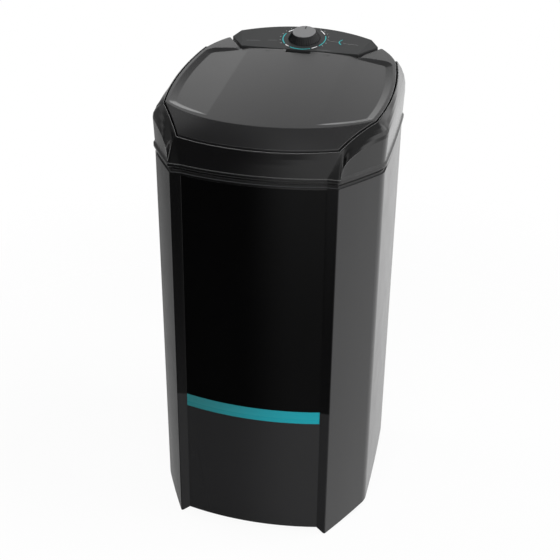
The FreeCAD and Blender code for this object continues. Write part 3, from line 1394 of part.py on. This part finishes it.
def base_plate():
    """Floor of the cabinet, with pads over the feet, vents and two lugs for the rear screws."""
    plate = body_block(WALL + PLAY, BASE_LIFT, BASE_TOP)
    pads = [disc(FOOT_R, FOOT_TOP, BASE_TOP, x, y) for x, y in foot_places()]
    top = BASE_TOP + LUG_H
    ring = body_block(WALL + PLAY, BASE_LIFT, top).cut(body_block(WALL + PLAY + LUG_T, 0, top + 1))
    lugs = [ring.common(block(x - LUG_W / 2, x + LUG_W / 2, 0, DEPTH, BASE_LIFT, top)) for x in BASE_SCREW_X]
    base = joined([plate] + pads + lugs)
    vents = []
    for i in range(VENT_COUNT):
        y = TUB_Y + VENT_PITCH * (i - (VENT_COUNT - 1) / 2)
        vents.append(block(-VENT_HALF, VENT_HALF, y, y + VENT_PITCH / 2, 0, BASE_TOP + 1))
    holes = [rod_back(x, BASE_TOP + LUG_H / 2, SCREW_R + SLIP, 0, DEPTH) for x in BASE_SCREW_X]
    return base.cut(vents + holes)


def rubber_feet():
    group = []
    for x, y in foot_places():
        foot = disc(FOOT_R, 0, FOOT_TOP, x, y)
        low = [e for e in foot.Edges if e.BoundBox.ZMax < 1e-6]
        group.append(foot.makeFillet(FOOT_ROUND, low))
    return Part.makeCompound(group)


def frame_screws():
    places = [V(x, y, CABINET_TOP - RIM_T) for x, y in seam_screws()]
    return screws(places, UP, RIM_T + FLANGE_T, SCREW_BITE)


def console_fixings():
    places = []
    for x, y in console_screws():
        places.append(V(x, y, ledge_height(x, y)) - LEDGE_UP * SKIN)
    return screws(places, LEDGE_UP, SKIN, SCREW_BITE)


def bracket_screws():
    places = [V(x, y, BRACKET_TOP - BRACKET_T) for x, y in boss_places()]
    return screws(places, UP, BRACKET_T, SCREW_BITE)


def base_screws():
    z = BASE_TOP + LUG_H / 2
    places = [V(x, back_wall(abs(x) - SCREW_HEAD_R, z) + PLAY / 3, z) for x in BASE_SCREW_X]
    return screws(places, V(0, -1, 0), WALL, LUG_T)


PIECES = {
    "cabinet_shell": cabinet_shell,
    "front_panel": front_panel,
    "accent_strip": accent_strip,
    "top_frame": top_frame,
    "lid": lid,
    "lid_bumpers": lid_bumpers,
    "hinge_rod": hinge_rod,
    "hinge_knuckles": hinge_knuckles,
    "control_housing": control_housing,
    "control_panel": control_panel,
    "timer_body": timer_body,
    "timer_shaft": timer_shaft,
    "knob": knob,
    "knob_cap": knob_cap,
    "knob_pointer": knob_pointer,
    "wash_tub": wash_tub,
    "tub_gasket": tub_gasket,
    "drain_strainer": drain_strainer,
    "lint_filter": lint_filter,
    "agitator": agitator,
    "drive_shaft": drive_shaft,
    "bearing_housing": bearing_housing,
    "shaft_seal": shaft_seal,
    "upper_bush": upper_bush,
    "lower_bush": lower_bush,
    "drive_pulley": drive_pulley,
    "motor_pulley": motor_pulley,
    "drive_belt": drive_belt,
    "motor_body": motor_body,
    "motor_shaft": motor_shaft,
    "motor_bracket": motor_bracket,
    "motor_buffers": motor_buffers,
    "capacitor": capacitor,
    "capacitor_clip": capacitor_clip,
    "drain_hose": drain_hose,
    "drain_spigot": drain_spigot,
    "cord_gland": cord_gland,
    "wiring_harness": wiring_harness,
    "base_plate": base_plate,
    "rubber_feet": rubber_feet,
    "frame_screws": frame_screws,
    "console_screws": console_fixings,
    "bracket_screws": bracket_screws,
    "base_screws": base_screws,
}

os.makedirs("parts", exist_ok=True)
for name, make in PIECES.items():
    make().exportStep("parts/" + name + ".step")
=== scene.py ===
import json
import math

import bmesh
import bpy
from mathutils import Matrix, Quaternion, Vector


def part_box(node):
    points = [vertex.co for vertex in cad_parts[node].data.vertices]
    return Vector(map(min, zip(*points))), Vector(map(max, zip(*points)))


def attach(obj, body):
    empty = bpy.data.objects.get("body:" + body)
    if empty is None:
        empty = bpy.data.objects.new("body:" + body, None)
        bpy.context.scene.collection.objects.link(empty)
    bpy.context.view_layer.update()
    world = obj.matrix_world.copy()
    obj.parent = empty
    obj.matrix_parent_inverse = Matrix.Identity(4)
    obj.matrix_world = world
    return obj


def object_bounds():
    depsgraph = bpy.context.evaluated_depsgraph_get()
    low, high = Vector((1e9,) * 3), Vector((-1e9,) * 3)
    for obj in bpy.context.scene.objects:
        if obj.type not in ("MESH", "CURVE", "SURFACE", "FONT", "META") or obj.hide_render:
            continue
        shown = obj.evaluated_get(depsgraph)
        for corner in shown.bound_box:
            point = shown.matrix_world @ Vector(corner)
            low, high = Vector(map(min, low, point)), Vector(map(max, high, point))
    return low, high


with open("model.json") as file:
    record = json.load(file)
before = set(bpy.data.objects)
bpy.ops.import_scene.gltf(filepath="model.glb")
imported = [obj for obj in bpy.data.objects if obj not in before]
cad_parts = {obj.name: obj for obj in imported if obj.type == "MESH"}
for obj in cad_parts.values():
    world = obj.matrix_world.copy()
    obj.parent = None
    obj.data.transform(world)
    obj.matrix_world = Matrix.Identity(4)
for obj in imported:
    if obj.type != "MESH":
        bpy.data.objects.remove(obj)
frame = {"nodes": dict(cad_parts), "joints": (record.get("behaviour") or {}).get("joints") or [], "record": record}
cad_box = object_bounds()

# Camera as fitted to the photograph, in metres and degrees, with its lens and sensor in millimetres
CAMERA_PLACE = Vector((0.5366, -2.2132, 1.6090))
CAMERA_AIM = Vector((0.007, -0.025, 0.497))
CAMERA_ROLL = 0.787
CAMERA_LENS = 75.14
SENSOR = 36.0

# Lamps: place and size in metres, power in watts
LAMPS = {
    "right_lamp": (Vector((1.25, 0.05, 3.05)), 1.1, 40.0),
    "left_lamp": (Vector((-1.6, 0.37, 2.7)), 0.9, 16.0),
    "fill_lamp": (Vector((0.5, -2.9, 2.3)), 2.6, 60.0),
}

# Floor, in metres
FLOOR_HALF = 9.0
FLOOR_COLOUR = (0.93, 0.93, 0.93)
FLOOR_ROUGH = 0.9
FLOOR_FADE = (0.9, 1.9)        # distance over which it passes into the white beyond it
FLOOR_GLOW = 0.93              # how far it is lifted to white for the camera

# Strength of the room's light
SKY_PLAIN = 0.3                # even light on every surface
SKY_WALL = 1.2                 # reflected white behind the machine
SKY_SHELF = 0.35               # more of it halfway up
SKY_HIGH = 0.3                 # what is left of it high up
SKY_DIP = 0.4                  # share lost along the horizon on the right
SKY_LEFT = 0.17                # share of it on the far left
SKY_LOW = 0.75                 # share of it near the floor
SKY_FRONT = 0.02               # reflected room in front of the machine
SKY_FLOOR = 0.78               # reflected floor and ceiling there, on the right
SKY_WINDOW = 0.55              # reflected glow high on the far left
GROUND_SHARE = 0.3             # of the reflected floor, close to the machine

# Where that light changes. A direction goes right, back and up by -1 to 1,
# and a span says where a soft change starts and ends.
WALL_BACK = (-0.6, 0.1)
WALL_LEAN = 0.35               # the wall comes further round on the right
WALL_SHELF = (0.1, 0.35)
WALL_TOP = (0.48, 0.70)
TOP_LEAN = 0.2                 # its top climbs to the right
WALL_LEFT = (-0.75, -0.2)
WALL_LOW = (-0.65, -0.2)
DIP_RIGHT = (0.05, 0.3)
DIP_LOW = (-0.3, -0.12)
GROUND_TOP = (-0.12, 0.04)
GROUND_NEAR = (-0.52, -0.28)
GROUND_RIGHT = (-0.3, 0.1)
CEILING_LOW = (0.0, 0.3)
CEILING_RIGHT = (-0.4, 0.3)
WINDOW_LOW = (0.4, 0.6)
WINDOW_RIGHT = (-0.7, -0.5)
WINDOW_BACK = (-0.1, 0.15)

# Marks in moulded plastic: a scale counts them in a metre, and a depth is in metres
FLOW_SCALE = 7.0
FLOW_STRETCH = 0.35            # along the height
SMEAR_SCALE = 23.0
SPECK_SCALE = 900.0
SPECK_DEPTH = 0.00004
SPECK_SHINE = 0.06             # what a speck adds to the roughness

# Soft edges, and the painted highlight along them
EDGE_SAMPLES = 6
EDGE_HIGHLIGHT_SAMPLES = 8
EDGE_HIGHLIGHT_SPAN = (0.02, 0.14)        # how far an edge turns before it gets the painted highlight

# Ends of the coloured strip
STRIP_LEFT = (0.02, 0.16, 0.17, 1.0)
STRIP_RIGHT = (0.003, 0.34, 0.41, 1.0)
STRIP_FLAKE = 0.1              # share of flakes in its colour

# Corner posts of the cabinet, above the lower edge of the front panel
POST_SHADE = 0.2               # of the cabinet's colour
POST_SHINE = 0.5               # of the cabinet's roughness
POST_FACING = (0.80, 0.94)     # how far a face looks to the front
POST_START = (-0.004, 0.002)   # from that edge, in metres

# Painted shade on the flange of the tub, where it lies in the dark seam
FLANGE_SHOWN = 0.006           # height that lies in the seam, in metres
FLANGE_PAINTED_SHADE = 0.05            # of the tub's colour

# Rings of the hose, with painted shade between them
HOSE_RINGS = 900.0             # turn of the wave for each metre, in radians
HOSE_WAVE = 0.35               # shares of the painted shade between the rings and of the dust in its colour
HOSE_DUST = 0.5
HOSE_EVEN = 0.15

# Print round the dial, in metres and degrees, on the control panel
PRINT_T = 0.00012
PRINT_TEAL = (0.02, 0.36, 0.38)
PRINT_WHITE = (0.75, 0.76, 0.77)
PRINT_GREY = (0.16, 0.162, 0.165)
RING_R = 0.0458
RING_W = 0.0020
ARC_STEP = 2.0                 # between the points of an arc
TEAL_ARCS = [(160, 216), (-36, 20), (240, 298)]
WHITE_ARCS = [(128, 150), (30, 52), (222, 236), (302, 318)]
SIDE_PLACE = (0.088, -0.005)   # small arc beside the ring
SIDE_R = 0.011
SIDE_ARC = (118, 242)
SCALE_R = 0.0505
SCALE_W = 0.0006
SCALE_L = 0.0026
SCALE_TURNS = range(-30, 211, 15)
LEADER_W = 0.0008
LEADERS = [((-0.121, -0.026), (-0.091, -0.023)), ((-0.075, -0.019), (-0.056, -0.017)),
           ((0.056, -0.004), (0.076, -0.006)), ((0.086, -0.009), (0.119, -0.013)),
           ((0.036, -0.043), (0.066, -0.045))]

# Sockets of a colour mix, which share their names with other kinds of mix
MIX_FIRST = 6
MIX_SECOND = 7
MIX_RESULT = 2


class Value:
    """One shader socket, so that shader maths reads as plain sums."""

    def __init__(self, tree, socket):
        self.tree = tree
        self.socket = socket

    def node(self, kind, settings, sockets, output=0):
        """One output of a new node, with the node's settings made and its sockets filled."""
        made = self.tree.nodes.new(kind)
        for name, value in settings.items():
            setattr(made, name, value)
        for name, value in sockets.items():
            if isinstance(value, Value):
                self.tree.links.new(value.socket, made.inputs[name])
            else:
                made.inputs[name].default_value = value
        return Value(self.tree, made.outputs[output])

    def math(self, operation, *terms):
        return self.node("ShaderNodeMath", {"operation": operation}, dict(enumerate(terms)))

    def vector_math(self, operation, *terms, output="Value"):
        sockets = dict(enumerate(terms))
        return self.node("ShaderNodeVectorMath", {"operation": operation}, sockets, output)

    def __add__(self, other):
        return self.math("ADD", self, other)

    def __sub__(self, other):
        return self.math("SUBTRACT", self, other)

    def __rsub__(self, other):
        return self.math("SUBTRACT", other, self)

    def __mul__(self, other):
        return self.math("MULTIPLY", self, other)

    def __neg__(self):
        return 0 - self

    __radd__ = __add__
    __rmul__ = __mul__

    def sine(self):
        return self.math("SINE", self)

    def within(self, low, high):
        """0 below low, 1 above high, and a soft run between."""
        return self.node("ShaderNodeMapRange", {"interpolation_type": "SMOOTHSTEP"},
                         {"Value": self, "From Min": low, "From Max": high})

    def between(self, low, high):
        """Low where this value is 0, high where it is 1."""
        return low + (high - low) * self

    def mixed(self, first, second):
        """Colour between two colours, by this value."""
        sockets = {"Factor": self, MIX_FIRST: first, MIX_SECOND: second}
        return self.node("ShaderNodeMix", {"data_type": "RGBA"}, sockets, MIX_RESULT)

    def shades(self, colour, low, high):
        """Shade of one colour, between two factors, by this value."""
        return self.mixed(shade(colour, low), shade(colour, high))

    def noise(self, scale, detail=2.0):
        """Noise over this place, from 0 to 1."""
        return self.node("ShaderNodeTexNoise", {}, {"Vector": self, "Scale": scale, "Detail": detail})

    def stretched(self, x=1.0, y=1.0, z=1.0):
        """This place, stretched along each axis."""
        return self.vector_math("MULTIPLY", self, (x, y, z), output="Vector")

    def axes(self):
        """The three parts of this place or direction."""
        first = self.node("ShaderNodeSeparateXYZ", {}, {0: self})
        return [Value(self.tree, socket) for socket in first.socket.node.outputs]

    def coordinates(self, name):
        return self.node("ShaderNodeTexCoord", {}, {}, name)

    def ray(self, name):
        """1 on rays of one kind, such as those of the camera, and 0 on others."""
        return self.node("ShaderNodeLightPath", {}, {}, name)


class Finish:
    """A procedural material: a shader, and the places on the piece that its detail follows."""

    def __init__(self, name):
        self.material = bpy.data.materials.new(name)
        self.material.use_nodes = True
        tree = self.material.node_tree
        self.shader = tree.nodes["Principled BSDF"]
        self.place = Value(tree, None).coordinates("Object")

    def set(self, **sockets):
        for name, value in sockets.items():
            socket = self.shader.inputs[name.replace("_", " ")]
            if isinstance(value, Value):
                value.tree.links.new(value.socket, socket)
            else:
                socket.default_value = value

    def flow(self):
        """Slow marks from the filling of the mould, drawn out along the height."""
        return self.place.stretched(z=FLOW_STRETCH).noise(FLOW_SCALE, detail=3.0)

    def smear(self):
        """Uneven shine, as hands leave it."""
        return self.place.noise(SMEAR_SCALE, detail=4.0)

    def softened(self, radius, samples):
        """Normal of the piece, with its edges softened over a small round."""
        return self.place.node("ShaderNodeBevel", {"samples": samples}, {"Radius": radius})

    def edges(self, radius):
        """1 along the sharp edges of the piece, falling to 0 on its faces."""
        soft = self.softened(radius, EDGE_HIGHLIGHT_SAMPLES)
        flat = self.place.node("ShaderNodeNewGeometry", {}, {}, "Normal")
        return (1 - soft.vector_math("DOT_PRODUCT", soft, flat)).within(*EDGE_HIGHLIGHT_SPAN)

    def with_relief(self, height, strength, depth, edge=0.0):
        """The finished material, with relief from a height on softened edges."""
        sockets = {"Strength": strength, "Distance": depth, "Height": height}
        if edge:
            sockets["Normal"] = self.softened(edge, EDGE_SAMPLES)
        self.set(Normal=self.place.node("ShaderNodeBump", {}, sockets))
        return self.material


def shade(colour, factor):
    return tuple(channel * factor for channel in colour) + (1.0,)


def moulded(name, colour, rough, grain=0.2, edge=0.0008, gloss=0.5, spread=0.12,
            grain_scale=SPECK_SCALE, rub=0.0):
    """Moulded plastic: flow marks, an uneven shine, a fine grain, and a painted highlight along its edges."""
    finish = Finish(name)
    speck = finish.place.noise(grain_scale)
    tone = finish.flow().shades(colour, low=1 - spread, high=1 + spread)
    # Painted highlight: the sharp edges are lightened towards the pale grey given
    if rub:
        tone = finish.edges(edge).mixed(tone, (rub, rub, rub, 1.0))
    shine = finish.smear().between(low=0.86, high=1.08) + SPECK_SHINE * speck
    finish.set(Base_Color=tone, Roughness=rough * shine, Specular_IOR_Level=gloss)
    return finish.with_relief(speck, grain, SPECK_DEPTH, edge)


def cabinet(name, colour):
    """Satin cabinet, with corner posts as dark and shiny as the front between them."""
    finish = Finish(name)
    panel_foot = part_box("front_panel")[0].z
    height = finish.place.axes()[2]
    facing = -finish.place.coordinates("Normal").axes()[1]
    start, end = POST_START
    post = facing.within(*POST_FACING) * height.within(panel_foot + start, panel_foot + end)
    satin = finish.flow().shades(colour, low=0.92, high=1.08)
    shine = finish.smear().between(low=0.22, high=0.29)
    finish.set(Base_Color=post.mixed(satin, shade(colour, POST_SHADE)))
    finish.set(Roughness=shine * post.between(1.0, POST_SHINE))
    speck = finish.place.noise(SPECK_SCALE)
    return finish.with_relief(speck, strength=0.2, depth=SPECK_DEPTH, edge=0.0012)


def tub_plastic(name, colour):
    """Grey tub, with painted shade, near black, on the flange where it lies in the seam."""
    finish = Finish(name)
    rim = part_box("wash_tub")[1].z
    height = finish.place.axes()[2]
    # Painted shade: the flange is darkened where it lies in the seam between cabinet and frame
    seam_shade = height.within(rim - FLANGE_SHOWN, rim - FLANGE_SHOWN / 2)
    flow = finish.flow()
    grey = flow.shades(colour, low=0.96, high=1.04)
    finish.set(Base_Color=seam_shade.mixed(grey, shade(colour, FLANGE_PAINTED_SHADE)))
    finish.set(Roughness=flow.between(low=0.27, high=0.35))
    speck = finish.place.noise(SPECK_SCALE)
    return finish.with_relief(speck, strength=0.2, depth=SPECK_DEPTH, edge=0.0010)


def cast_metal(name, colour, rough, pits=0.25, scale=420.0):
    """Cast or plated metal: pitted, with an uneven shine."""
    finish = Finish(name)
    pit = finish.place.noise(scale, detail=3.0)
    cloud = finish.place.noise(scale=18.0, detail=3.0)
    finish.set(Base_Color=cloud.shades(colour, low=0.85, high=1.1), Metallic=1.0)
    finish.set(Roughness=rough * cloud.between(low=0.75, high=1.25))
    return finish.with_relief(pit, pits, depth=0.00006, edge=0.0005)


def turned_metal(name, colour, rough):
    """Drawn or turned metal, with fine lines round and along it."""
    finish = Finish(name)
    lines = finish.place.stretched(z=30.0).noise(scale=160.0)
    finish.set(Base_Color=lines.shades(colour, low=0.86, high=1.08), Metallic=1.0)
    finish.set(Roughness=rough * lines.between(low=0.7, high=1.3))
    return finish.with_relief(lines, strength=0.12, depth=0.00003, edge=0.0003)


def rubber(name, colour):
    """Dull rubber with a pale bloom."""
    finish = Finish(name)
    bloom = finish.place.noise(scale=34.0, detail=4.0)
    grain = finish.place.noise(scale=1300.0)
    finish.set(Base_Color=bloom.shades(colour, low=0.8, high=1.5), Specular_IOR_Level=0.3)
    finish.set(Roughness=bloom.between(low=0.62, high=0.87))
    return finish.with_relief(grain, strength=0.3, depth=0.00006, edge=0.0004)


def front_gloss(name, colour):
    """Deep black front: nearly even, with faint ripples in its shine."""
    finish = Finish(name)
    ripple = finish.place.noise(scale=14.0)
    finish.set(Base_Color=ripple.shades(colour, low=0.85, high=1.15), Specular_IOR_Level=0.16)
    finish.set(Roughness=ripple.between(low=0.11, high=0.17))
    return finish.with_relief(ripple, strength=0.05, depth=0.0002, edge=0.0004)


def accent(name):
    """Coloured strip: deeper on the left, brighter towards the right."""
    finish = Finish(name)
    low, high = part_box("accent_strip")
    across, _, height = finish.place.axes()
    share = across.within(low.x, high.x)
    sheen = height.within(low.z, high.z)
    flake = finish.place.noise(scale=2600.0, detail=1.0)
    tone = (share * (1 - STRIP_FLAKE) + flake * STRIP_FLAKE).mixed(STRIP_LEFT, STRIP_RIGHT)
    finish.set(Base_Color=tone, Specular_IOR_Level=0.3, Coat_Weight=0.05)
    finish.set(Roughness=sheen.between(low=0.24, high=0.34))
    return finish.with_relief(flake, strength=0.06, depth=0.00003, edge=0.0004)


def brushed_cap(name, colour):
    """Pale metal disc, brushed across."""
    finish = Finish(name)
    lines = finish.place.stretched(x=4.0, y=90.0, z=90.0).noise(scale=40.0, detail=3.0)
    finish.set(Base_Color=lines.shades(colour, low=0.82, high=1.1), Metallic=0.55)
    finish.set(Roughness=lines.between(low=0.36, high=0.52))
    return finish.with_relief(lines, strength=0.12, depth=0.00003, edge=0.0004)


def ribbed_hose(name, colour):
    """Hose with fine rings along its run, with painted shade between them."""
    finish = Finish(name)
    _, depth, height = finish.place.axes()
    wave = ((depth + height) * HOSE_RINGS).sine()
    dust = finish.place.noise(scale=40.0, detail=3.0)
    # Painted shade: the colour darkens in the grooves between the rings
    tone = (wave * HOSE_WAVE + dust * HOSE_DUST + HOSE_EVEN).shades(colour, low=0.6, high=1.2)
    finish.set(Base_Color=tone, Roughness=dust.between(low=0.55, high=0.75))
    return finish.with_relief(wave, strength=0.6, depth=0.0012)


# Finish of each slot: its maker, and what the maker is told
FINISHES = {
    "body": (cabinet, {"colour": (0.018, 0.018, 0.0188)}),
    "front_gloss": (front_gloss, {"colour": (0.0014, 0.0014, 0.0015)}),
    "accent": (accent, {}),
    # Frame, lid and knob get a painted highlight along their sharp edges, lightened towards the grey given
    "frame": (moulded, {"colour": (0.0042, 0.0042, 0.0044), "rough": 0.22, "grain": 0.15,
                        "edge": 0.0018, "spread": 0.08, "rub": 0.16}),
    "lid": (moulded, {"colour": (0.012, 0.012, 0.0124), "rough": 0.22,
                      "edge": 0.0022, "spread": 0.06, "rub": 0.12}),
    "hinge": (moulded, {"colour": (0.012, 0.012, 0.0125), "rough": 0.55, "grain": 0.3}),
    "console": (moulded, {"colour": (0.018, 0.018, 0.0188), "rough": 0.32, "grain": 0.15,
                          "edge": 0.0010}),
    "panel": (moulded, {"colour": (0.026, 0.0268, 0.0272), "rough": 0.45, "grain": 0.35,
                        "edge": 0.0006, "gloss": 0.4, "spread": 0.06, "grain_scale": 1500.0}),
    "knob": (moulded, {"colour": (0.006, 0.006, 0.0064), "rough": 0.16, "grain": 0.1,
                       "edge": 0.0004, "rub": 0.06}),
    "knob_cap": (brushed_cap, {"colour": (0.28, 0.28, 0.284)}),
    "pointer": (moulded, {"colour": (0.02, 0.02, 0.021), "rough": 0.5, "edge": 0.0002}),
    "tub": (tub_plastic, {"colour": (0.16, 0.163, 0.168)}),
    "agitator": (moulded, {"colour": (0.38, 0.4, 0.41), "rough": 0.3, "edge": 0.0012,
                           "spread": 0.05}),
    "filter": (moulded, {"colour": (0.02, 0.24, 0.27), "rough": 0.4, "grain": 0.3, "edge": 0.0005}),
    "steel": (turned_metal, {"colour": (0.6, 0.6, 0.6), "rough": 0.3}),
    "casting": (cast_metal, {"colour": (0.3, 0.3, 0.3), "rough": 0.5}),
    "alloy": (cast_metal, {"colour": (0.6, 0.6, 0.62), "rough": 0.36, "pits": 0.15}),
    "brass": (turned_metal, {"colour": (0.7, 0.55, 0.25), "rough": 0.3}),
    "rubber": (rubber, {"colour": (0.025, 0.025, 0.025)}),
    "motor": (moulded, {"colour": (0.05, 0.05, 0.055), "rough": 0.42, "grain": 0.4,
                        "spread": 0.1, "grain_scale": 500.0}),
    "bracket": (cast_metal, {"colour": (0.25, 0.25, 0.26), "rough": 0.4, "pits": 0.2,
                             "scale": 240.0}),
    "inner_plastic": (moulded, {"colour": (0.03, 0.03, 0.03), "rough": 0.5, "grain": 0.3}),
    "hose": (ribbed_hose, {"colour": (0.3, 0.3, 0.31)}),
    "sleeve": (moulded, {"colour": (0.06, 0.06, 0.06), "rough": 0.55, "grain": 0.4}),
    "base": (moulded, {"colour": (0.03, 0.03, 0.032), "rough": 0.55, "grain": 0.4, "edge": 0.0010}),
}


def dress_solids():
    """Give every solid the finish of its slot."""
    made = {slot: maker(slot, **look) for slot, (maker, look) in FINISHES.items()}
    for part in frame["record"]["subparts"]:
        mesh = frame["nodes"][part["node"]].data
        mesh.materials.clear()
        mesh.materials.append(made[part["material_slot"]])


def panel_frame():
    """Middle of the dial on the control panel, and the panel's directions across, up and out."""
    turn = next(joint for joint in frame["joints"] if joint["name"] == "knob_turn")
    normal = -Vector(turn["axis"]).normalized()
    across = Vector((1, 0, 0))
    return Vector(turn["pos_m"]), across, normal.cross(across), normal


def print_piece(name, outlines, material):
    """Thin raised print on the control panel, from closed outlines in the panel's own plane."""
    middle, across, rise, normal = panel_frame()
    mesh = bmesh.new()
    for outline in outlines:
        ring = [middle + across * x + rise * y for x, y in outline]
        lower = [mesh.verts.new(point) for point in ring]
        upper = [mesh.verts.new(point + normal * PRINT_T) for point in ring]
        mesh.faces.new(upper)
        mesh.faces.new(list(reversed(lower)))
        for index in range(len(ring)):
            after = (index + 1) % len(ring)
            mesh.faces.new([lower[index], lower[after], upper[after], upper[index]])
    data = bpy.data.meshes.new(name)
    mesh.to_mesh(data)
    mesh.free()
    data.materials.append(material)
    piece = bpy.data.objects.new(name, data)
    bpy.context.scene.collection.objects.link(piece)
    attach(piece, "machine")


def direction(turn):
    return Vector((math.cos(math.radians(turn)), math.sin(math.radians(turn))))


def arc_outline(radius, start, end, middle=(0.0, 0.0)):
    """Arc of the ring's width, between two turns."""
    count = max(2, int((end - start) / ARC_STEP) + 1)
    spokes = [direction(start + (end - start) * i / (count - 1)) for i in range(count)]
    outer = [spoke * (radius + RING_W / 2) for spoke in spokes]
    inner = [spoke * (radius - RING_W / 2) for spoke in reversed(spokes)]
    return [tuple(Vector(middle) + point) for point in outer + inner]


def line_outline(start, end, width):
    start, end = Vector(start), Vector(end)
    along = (end - start).normalized()
    aside = Vector((-along.y, along.x)) * (width / 2)
    return [tuple(point) for point in (start - aside, end - aside, end + aside, start + aside)]


def tick_outline(turn):
    out = direction(turn)
    return line_outline(out * SCALE_R, out * (SCALE_R + SCALE_L), SCALE_W)


def dial_print():
    """Coloured and white arcs round the knob, a plain scale, and thin leader lines beside them."""
    teal = moulded("print_teal", PRINT_TEAL, rough=0.4, grain=0.1, edge=0.0)
    white = moulded("print_white", PRINT_WHITE, rough=0.45, grain=0.1, edge=0.0, gloss=0.4, spread=0.03)
    grey = moulded("print_grey", PRINT_GREY, rough=0.45, grain=0.1, edge=0.0, gloss=0.4, spread=0.03)
    teal_arcs = [arc_outline(RING_R, *arc) for arc in TEAL_ARCS]
    teal_arcs.append(arc_outline(SIDE_R, *SIDE_ARC, middle=SIDE_PLACE))
    white_arcs = [arc_outline(RING_R, *arc) for arc in WHITE_ARCS]
    leaders = [line_outline(start, end, LEADER_W) for start, end in LEADERS]
    ticks = [tick_outline(turn) for turn in SCALE_TURNS]
    print_piece("dial_teal_arcs", teal_arcs, teal)
    print_piece("panel_leaders", leaders, grey)
    print_piece("dial_white_arcs", white_arcs, white)
    print_piece("dial_scale", ticks, white)


def camera():
    data = bpy.data.cameras.new("photo_camera")
    data.sensor_width = SENSOR
    data.lens = CAMERA_LENS
    eye = bpy.data.objects.new("photo_camera", data)
    aim = (CAMERA_AIM - CAMERA_PLACE).to_track_quat("-Z", "Y")
    eye.rotation_mode = "QUATERNION"
    eye.rotation_quaternion = aim @ Quaternion((0, 0, 1), math.radians(CAMERA_ROLL))
    eye.location = CAMERA_PLACE
    bpy.context.scene.collection.objects.link(eye)
    bpy.context.scene.camera = eye


def softbox(name, place, size, power):
    """A round lamp aimed at the machine, which its shiny faces don't mirror."""
    data = bpy.data.lights.new(name, "AREA")
    data.shape = "DISK"
    data.size = size
    data.energy = power
    lamp = bpy.data.objects.new(name, data)
    lamp.location = place
    aim = Vector((0, 0, cad_box[1][2] / 2)) - place
    lamp.rotation_mode = "QUATERNION"
    lamp.rotation_quaternion = aim.to_track_quat("-Z", "Y")
    lamp.visible_glossy = False
    bpy.context.scene.collection.objects.link(lamp)


def reflected_room(right, back, rise):
    """Strength of the room in a reflection: a white wall behind, and a dark room in front."""
    shelf = rise.within(*WALL_SHELF)
    wall = shelf.between(SKY_WALL, SKY_WALL + SKY_SHELF)
    wall = wall + (SKY_HIGH - wall) * (rise - TOP_LEAN * right).within(*WALL_TOP)
    wall = wall * right.within(*WALL_LEFT).between(SKY_LEFT, 1.0)
    wall = wall * rise.within(*WALL_LOW).between(SKY_LOW, 1.0)
    horizon = right.within(*DIP_RIGHT) * rise.within(*DIP_LOW) * (1 - shelf)
    wall = wall * (1 - SKY_DIP * horizon)
    ground = (1 - rise.within(*GROUND_TOP)) * rise.within(*GROUND_NEAR).between(GROUND_SHARE, 1.0)
    ground = ground * right.within(*GROUND_RIGHT)
    ceiling = rise.within(*CEILING_LOW) * right.within(*CEILING_RIGHT)
    front = SKY_FRONT + SKY_FLOOR * (ground + ceiling)
    behind = (back + WALL_LEAN * right).within(*WALL_BACK)
    window = rise.within(*WINDOW_LOW) * (1 - right.within(*WINDOW_RIGHT)) * back.within(*WINDOW_BACK)
    return front + (wall - front) * behind + SKY_WINDOW * window


def sky():
    """White for the camera, even light on every surface, and the room in reflections."""
    world = bpy.data.worlds.new("studio")
    bpy.context.scene.world = world
    world.use_nodes = True
    tree = world.node_tree
    aim = Value(tree, None).coordinates("Generated")
    seen = aim.ray("Is Camera Ray")
    glossy = aim.ray("Is Glossy Ray")
    light = SKY_PLAIN + glossy * (reflected_room(*aim.axes()) - SKY_PLAIN)
    strength = seen + (1 - seen) * light
    shader = tree.nodes["Background"]
    shader.inputs["Color"].default_value = (1.0, 1.0, 1.0, 1.0)
    tree.links.new(strength.socket, shader.inputs["Strength"])


def floor():
    """Pale floor that keeps the shadow. Reflections look past it to the horizon."""
    data = bpy.data.meshes.new("floor")
    corners = [(-1, -1), (1, -1), (1, 1), (-1, 1)]
    data.from_pydata([(x * FLOOR_HALF, y * FLOOR_HALF, 0.0) for x, y in corners], [], [(0, 1, 2, 3)])
    ground = bpy.data.objects.new("floor", data)
    bpy.context.scene.collection.objects.link(ground)
    finish = Finish("floor")
    place = finish.place
    tone = place.noise(scale=1.5).shades(FLOOR_COLOUR, low=0.99, high=1.01)
    finish.set(Base_Color=tone, Roughness=FLOOR_ROUGH, Specular_IOR_Level=0.0)
    seen = place.ray("Is Camera Ray")
    glossy = place.ray("Is Glossy Ray")
    reach = place.vector_math("LENGTH", place)
    past = glossy + (1 - glossy) * reach.within(*FLOOR_FADE)
    white = place.node("ShaderNodeEmission", {}, {})
    clear = place.node("ShaderNodeBsdfTransparent", {}, {})
    tree = finish.material.node_tree
    body = Value(tree, finish.shader.outputs[0])
    lit = place.node("ShaderNodeMixShader", {}, {0: seen * FLOOR_GLOW, 1: body, 2: white})
    whole = place.node("ShaderNodeMixShader", {}, {0: past, 1: lit, 2: clear})
    tree.links.new(whole.socket, tree.nodes["Material Output"].inputs["Surface"])
    data.materials.append(finish.material)


dress_solids()
dial_print()
camera()
for lamp_name, lamp in LAMPS.items():
    softbox(lamp_name, *lamp)
sky()
floor()
bpy.context.scene.view_settings.view_transform = "Standard"
